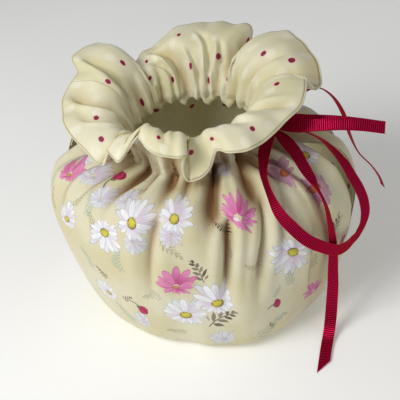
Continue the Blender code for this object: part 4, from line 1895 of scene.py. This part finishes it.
@dataclass(frozen=True)
class Ribbon:
    """A flat ribbed ribbon along one route, cut on a slant at its far end."""

    name: str
    node: str
    route: Array
    far_end: FarEnd
    slant: float = 0.0
    folds_back: bool = False
    slot: str = "crimson_ribbon"
    width: float = RIBBON_WIDTH
    thickness: float = 0.5
    step: float = 0.24
    rib_pitch: float = RIB_PITCH
    rib_height: float = 0.14
    knot_share: float = 0.6
    slant_length: float = 6.0

    def path(self, step: float) -> tuple[Array, Array, Array, Array]:
        """Points along the route, with a cubic between each pair of rows.

        Args:
            step: about how far apart the points are, in millimetres.

        Returns:
            The points, and the distance, the turn in radians and the share of each.
        """
        rows = self.route
        knots = run_along(rows[:, :3])
        at = np.linspace(0, knots[-1], round(knots[-1] / step) + 1)
        slope = np.gradient(rows, knots, axis=0)
        left = np.clip(np.searchsorted(knots, at, side="right") - 1, 0, len(knots) - 2)
        span = (knots[left + 1] - knots[left])[:, None]
        t = (at - knots[left])[:, None] / span
        ends, slopes = (rows[left], rows[left + 1]), (slope[left], slope[left + 1])
        read = join_cubic(t, span, ends, slopes)
        return read[:, :3], at, np.radians(read[:, 3]), read[:, 4]

    def section(self) -> tuple[Array, Array]:
        """Once round the ribbon's section, a thin oblong with rounded edges.

        Returns:
            Places across the ribbon and through it, each from -1 to 1.
        """
        across = np.array([-1, -0.97, -0.88, -0.7, -0.35, 0, 0.35, 0.7, 0.88, 0.97, 1])
        through = np.array([0.0, 0.8, 1, 1, 1, 1, 1, 1, 1, 0.8, 0.0])
        return (
            np.concatenate([across, across[-2:0:-1]]),
            np.concatenate([through, -through[-2:0:-1]]),
        )

    def axes(self, points: Array, turned: Array) -> tuple[Array, Array, Array]:
        """Which way the ribbon runs and lies.

        Its flat side is turned about its length from FACING, or from standing along UPRIGHT
        where it folds back.

        Args:
            points: the middle of each section.
            turned: how far each section is turned.

        Returns:
            Unit vectors along the ribbon, across it and through it.
        """
        along = unit(np.gradient(points, axis=0))
        flat = unit(np.cross(FACING, along))
        if self.folds_back:
            flat = unit(UPRIGHT - (along @ UPRIGHT)[:, None] * along)
        upright = np.cross(flat, along)
        across = np.cos(turned)[:, None] * flat + np.sin(turned)[:, None] * upright
        return along, across, np.cross(along, across)

    def skin(self, place: Array, side: Array) -> tuple[Array, Array]:
        """The ribbon's surface, closed at both ends.

        Each section is the oblong, thinned in the grooves between the ribs, which are a cosine
        along the ribbon. It is narrower and creased by the knot.

        Args:
            place: places across the section.
            side: places through it.

        Returns:
            Rows of points, and the distance of each row.
        """
        points, at, turned, share = self.path(self.step)
        along, across, through = self.axes(points, turned)
        share = share[:, None]
        ribs = 0.5 + 0.5 * np.cos(2 * np.pi * at / self.rib_pitch)
        inner = (np.abs(place) < 0.8).astype(float)
        swell = 1 - 2 * self.rib_height / self.thickness * (1 - ribs[:, None]) * inner
        drawn_in = 1 - np.clip((share - self.knot_share) / (1 - self.knot_share), 0, 1)
        crease = 1 + 0.9 * drawn_in * (1 - np.abs(place))
        half_thick = self.thickness / 2 * swell * crease * side
        half_wide = self.width / 2 * share * place
        skin = (
            points[:, None, :]
            + half_wide[..., None] * across[:, None, :]
            + half_thick[..., None] * through[:, None, :]
        )
        near_end = np.clip(1 - (at[-1] - at) / self.slant_length, 0, 1)[:, None, None]
        skin = skin + near_end * self.slant * place[None, :, None] * along[:, None, :]
        caps = np.repeat(skin[[0, -1]].mean(axis=1, keepdims=True), len(place), axis=1)
        return (
            np.concatenate([caps[:1], skin, caps[1:]]),
            np.concatenate([at[:1], at, at[-1:]]),
        )

    def build(self, finish: bpy.types.Material) -> bpy.types.Object:
        """Args:
            finish: its material.

        Returns:
            The ribbon.
        """
        place, side = self.section()
        skin, at = self.skin(place, side)
        mesh = grid_mesh(self.name, skin, closed_rows=True)
        flat = np.stack(np.meshgrid(at, self.width / 2 * place, indexing="ij"), -1)
        lay_map(mesh, "ribbon", flat.reshape(-1, 2))
        close_ends(mesh)
        piece = place_object(mesh, finish)
        stand_for(piece, self.node, self.slot)
        path = self.path(2.0)[0] * MM
        length = float(run_along(path)[-1])
        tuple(path[0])
        self.width * MM  # fmt: skip
        log.info("%s: %.0f mm", self.name, length / MM)
        return piece


@dataclass(frozen=True)
class Knot:
    """The bow's knot: a lumpy ball of ribbon, whose folds slant round it."""

    name: str = "bow_knot"
    node: str = "ribbon_knot"
    slot: str = "crimson_ribbon"
    centre: tuple[float, float, float] = (49.3, -1.2, 118.4)
    radii: tuple[float, float, float] = (4.4, 5.2, 4.0)
    size: float = 0.93
    fold_height: float = 0.06
    rib_height: float = 0.03
    ribs: int = 20
    rows: int = 64
    columns: int = 128

    def build(self, finish: bpy.types.Material) -> bpy.types.Object:
        """Its surface is a ball, larger by three sine folds that twist from pole to pole and by
        fine ribs round it.

        Args:
            finish: its material.

        Returns:
            The knot.
        """
        poles = np.linspace(0, np.pi, self.rows)
        rings = np.linspace(0, 2 * np.pi, self.columns, endpoint=False)
        rise, turn = np.meshgrid(poles, rings, indexing="ij")
        folds = self.fold_height * np.sin(3 * turn + 2.5 * np.cos(rise))
        folds = folds + self.rib_height * np.sin(self.ribs * rise) * np.sin(rise)
        size = self.size + folds * np.sin(rise)
        ball = [np.cos(rise), np.sin(rise) * np.cos(turn), np.sin(rise) * np.sin(turn)]
        points = np.stack(ball, -1) * size[..., None] * np.array(self.radii)
        mesh = grid_mesh(self.name, points + np.array(self.centre), closed_rows=True)
        lay_map(mesh, "ribbon", np.stack([rise * 6.0, turn * 3.0 - 9.0], -1).reshape(-1, 2))
        close_ends(mesh)
        piece = place_object(mesh, finish)
        stand_for(piece, self.node, self.slot)
        log.info("%s: %d faces", self.name, len(mesh.polygons))
        return piece


# ---------------------------------------------------------------- the studio


@dataclass(frozen=True)
class Studio:
    """Camera, two soft lights, pale surroundings and a plain pale floor."""

    azimuth: float = 20.0
    elevation: float = 36.0
    roll: float = -9.0
    distance: float = 600.0
    aim_height: float = 75.0
    dip: float = 1.01
    lens: float = 87.93
    sensor: float = 36.0
    key_power: float = 5.3
    fill_power: float = 0.7
    sky: float = 0.31
    floor_half: float = 3.0
    floor: Colour = srgb("F4F4F2")
    floor_light: Colour = srgb("F8F8F6")
    floor_glow: float = 0.14

    def axes(self) -> tuple[Vector, Vector, Vector]:
        """The camera's directions before it is rolled and dipped.

        Returns:
            Unit vectors to the right, up and back.
        """
        turn, rise = math.radians(self.azimuth), math.radians(self.elevation)
        level = math.cos(rise)
        back = Vector((math.sin(turn) * level, -math.cos(turn) * level, math.sin(rise)))
        right = Vector((math.cos(turn), math.sin(turn), 0.0))
        return right, back.cross(right), back

    def camera(self) -> bpy.types.Object:
        """Makes the camera, and makes it the scene's own.

        Returns:
            The camera.
        """
        right, up, back = self.axes()
        roll, dip = math.radians(self.roll), math.radians(self.dip)
        side = right * math.cos(roll) + up * math.sin(roll)
        top = up * math.cos(roll) - right * math.sin(roll)
        rear = back * math.cos(dip) + top * math.sin(dip)
        crest = rear.cross(side)
        spot = (Vector((0, 0, self.aim_height)) + back * self.distance) * MM
        data = bpy.data.cameras.new("camera")
        data.lens, data.sensor_width = self.lens, self.sensor
        data.clip_start, data.clip_end = 0.01, 20.0
        made = bpy.data.objects.new("camera", data)
        turned = Matrix((side, crest, rear)).transposed().to_4x4()
        made.matrix_world = Matrix.Translation(spot) @ turned
        bpy.context.scene.collection.objects.link(made)
        bpy.context.scene.camera = made
        return made

    def light(self, name: str, way: Vector, distance: float, size: float, power: float) -> None:
        """Adds one soft square light that faces the middle of the cosy.

        Args:
            name: what it is called.
            way: the direction from the cosy to the light.
            distance: how far off it stands, in metres.
            size: the length of its sides, in metres.
            power: in watts.
        """
        reach = way.normalized() * distance
        data = bpy.data.lights.new(name, "AREA")
        data.size, data.energy = size, power
        made = bpy.data.objects.new(name, data)
        made.location = reach + Vector((0, 0, self.aim_height * MM))
        made.rotation_euler = reach.to_track_quat("Z", "Y").to_euler()
        bpy.context.scene.collection.objects.link(made)

    def surroundings(self) -> None:
        """Lights everything evenly with white, and shows colours without a film curve."""
        world = bpy.data.worlds.new("surroundings")
        world.use_nodes = True
        background = world.node_tree.nodes["Background"]
        set_sockets(background, Color=(1.0, 1.0, 1.0, 1.0), Strength=self.sky)
        bpy.context.scene.world = world
        bpy.context.scene.view_settings.view_transform = "Standard"

    def lay_floor(self) -> None:
        """Lays a plain floor, faintly clouded and faintly glowing."""
        half = self.floor_half
        mesh = bpy.data.meshes.new("floor")
        corners = [(-half, -half, 0), (half, -half, 0), (half, half, 0), (-half, half, 0)]
        mesh.from_pydata(corners, [], [(0, 1, 2, 3)])
        finish, net, surface = new_finish("floor")
        spot = net.source("ShaderNodeTexCoord", "Object")
        shade = net.tint(net.noise(spot, 3.0).ramp(0.3, 0.7), self.floor, self.floor_light)
        net.feed(surface.inputs["Base Color"], shade)
        net.feed(surface.inputs["Emission Color"], shade)
        set_sockets(
            surface, Roughness=0.9, Specular_IOR_Level=0.1, Emission_Strength=self.floor_glow
        )
        place_object(mesh, finish)

    def build(self) -> None:
        """Sets up the camera, the lights, the surroundings and the floor."""
        self.camera()
        right, _, back = self.axes()
        level = Vector((back.x, back.y, 0)).normalized()
        rise = Vector((0, 0, 1))
        self.light("key", right * -0.62 + rise * 0.70 + level * 0.44, 0.9, 0.45, self.key_power)
        self.light("fill", right * 0.9 + rise * 0.5 + level * 0.6, 1.1, 0.9, self.fill_power)
        self.surroundings()
        self.lay_floor()
        log.info("studio: camera, 2 lights and floor")


def main() -> None:
    """Builds the studio, the knot, the ribbons and the cloths."""
    logging.basicConfig(level=logging.INFO, format="%(name)s %(message)s")
    Studio().build()
    crimson = RibbedRibbon().make()
    Knot().build(crimson)
    in_knot, free = FarEnd.IN_KNOT, FarEnd.FREE
    for ribbon in (
        Ribbon("bow_upper_loop", "ribbon_upper_loop", UPPER_LOOP, in_knot, folds_back=True),
        Ribbon("bow_lower_loop", "ribbon_lower_loop", LOWER_LOOP, in_knot),
        Ribbon("bow_long_tail", "ribbon_long_tail", LONG_TAIL, free, slant=4.6),
        Ribbon("bow_short_tail", "ribbon_short_tail", SHORT_TAIL, free, slant=-2.4),
    ):
        ribbon.build(crimson)
    floral, dotted = FloralCotton(), DottedCotton()
    floral_finish, dotted_finish = floral.make(), dotted.make()
    for half, start, end in (("back", 0.02, 179.98), ("front", 180.02, 359.98)):
        Cloth(
            f"{half}_cloth", f"{half}_panel", floral.name, start, end, Ply.OUTER, 0.0,
            flat_size=(0.2725, 0.205),
        ).build(floral_finish)  # fmt: skip
        Cloth(
            f"{half}_inside", f"{half}_lining", dotted.name, start, end, Ply.LINING, 1.3,
            flat_size=(0.2725, 0.190),
        ).build(dotted_finish)  # fmt: skip


if __name__ == "__main__":
    main()
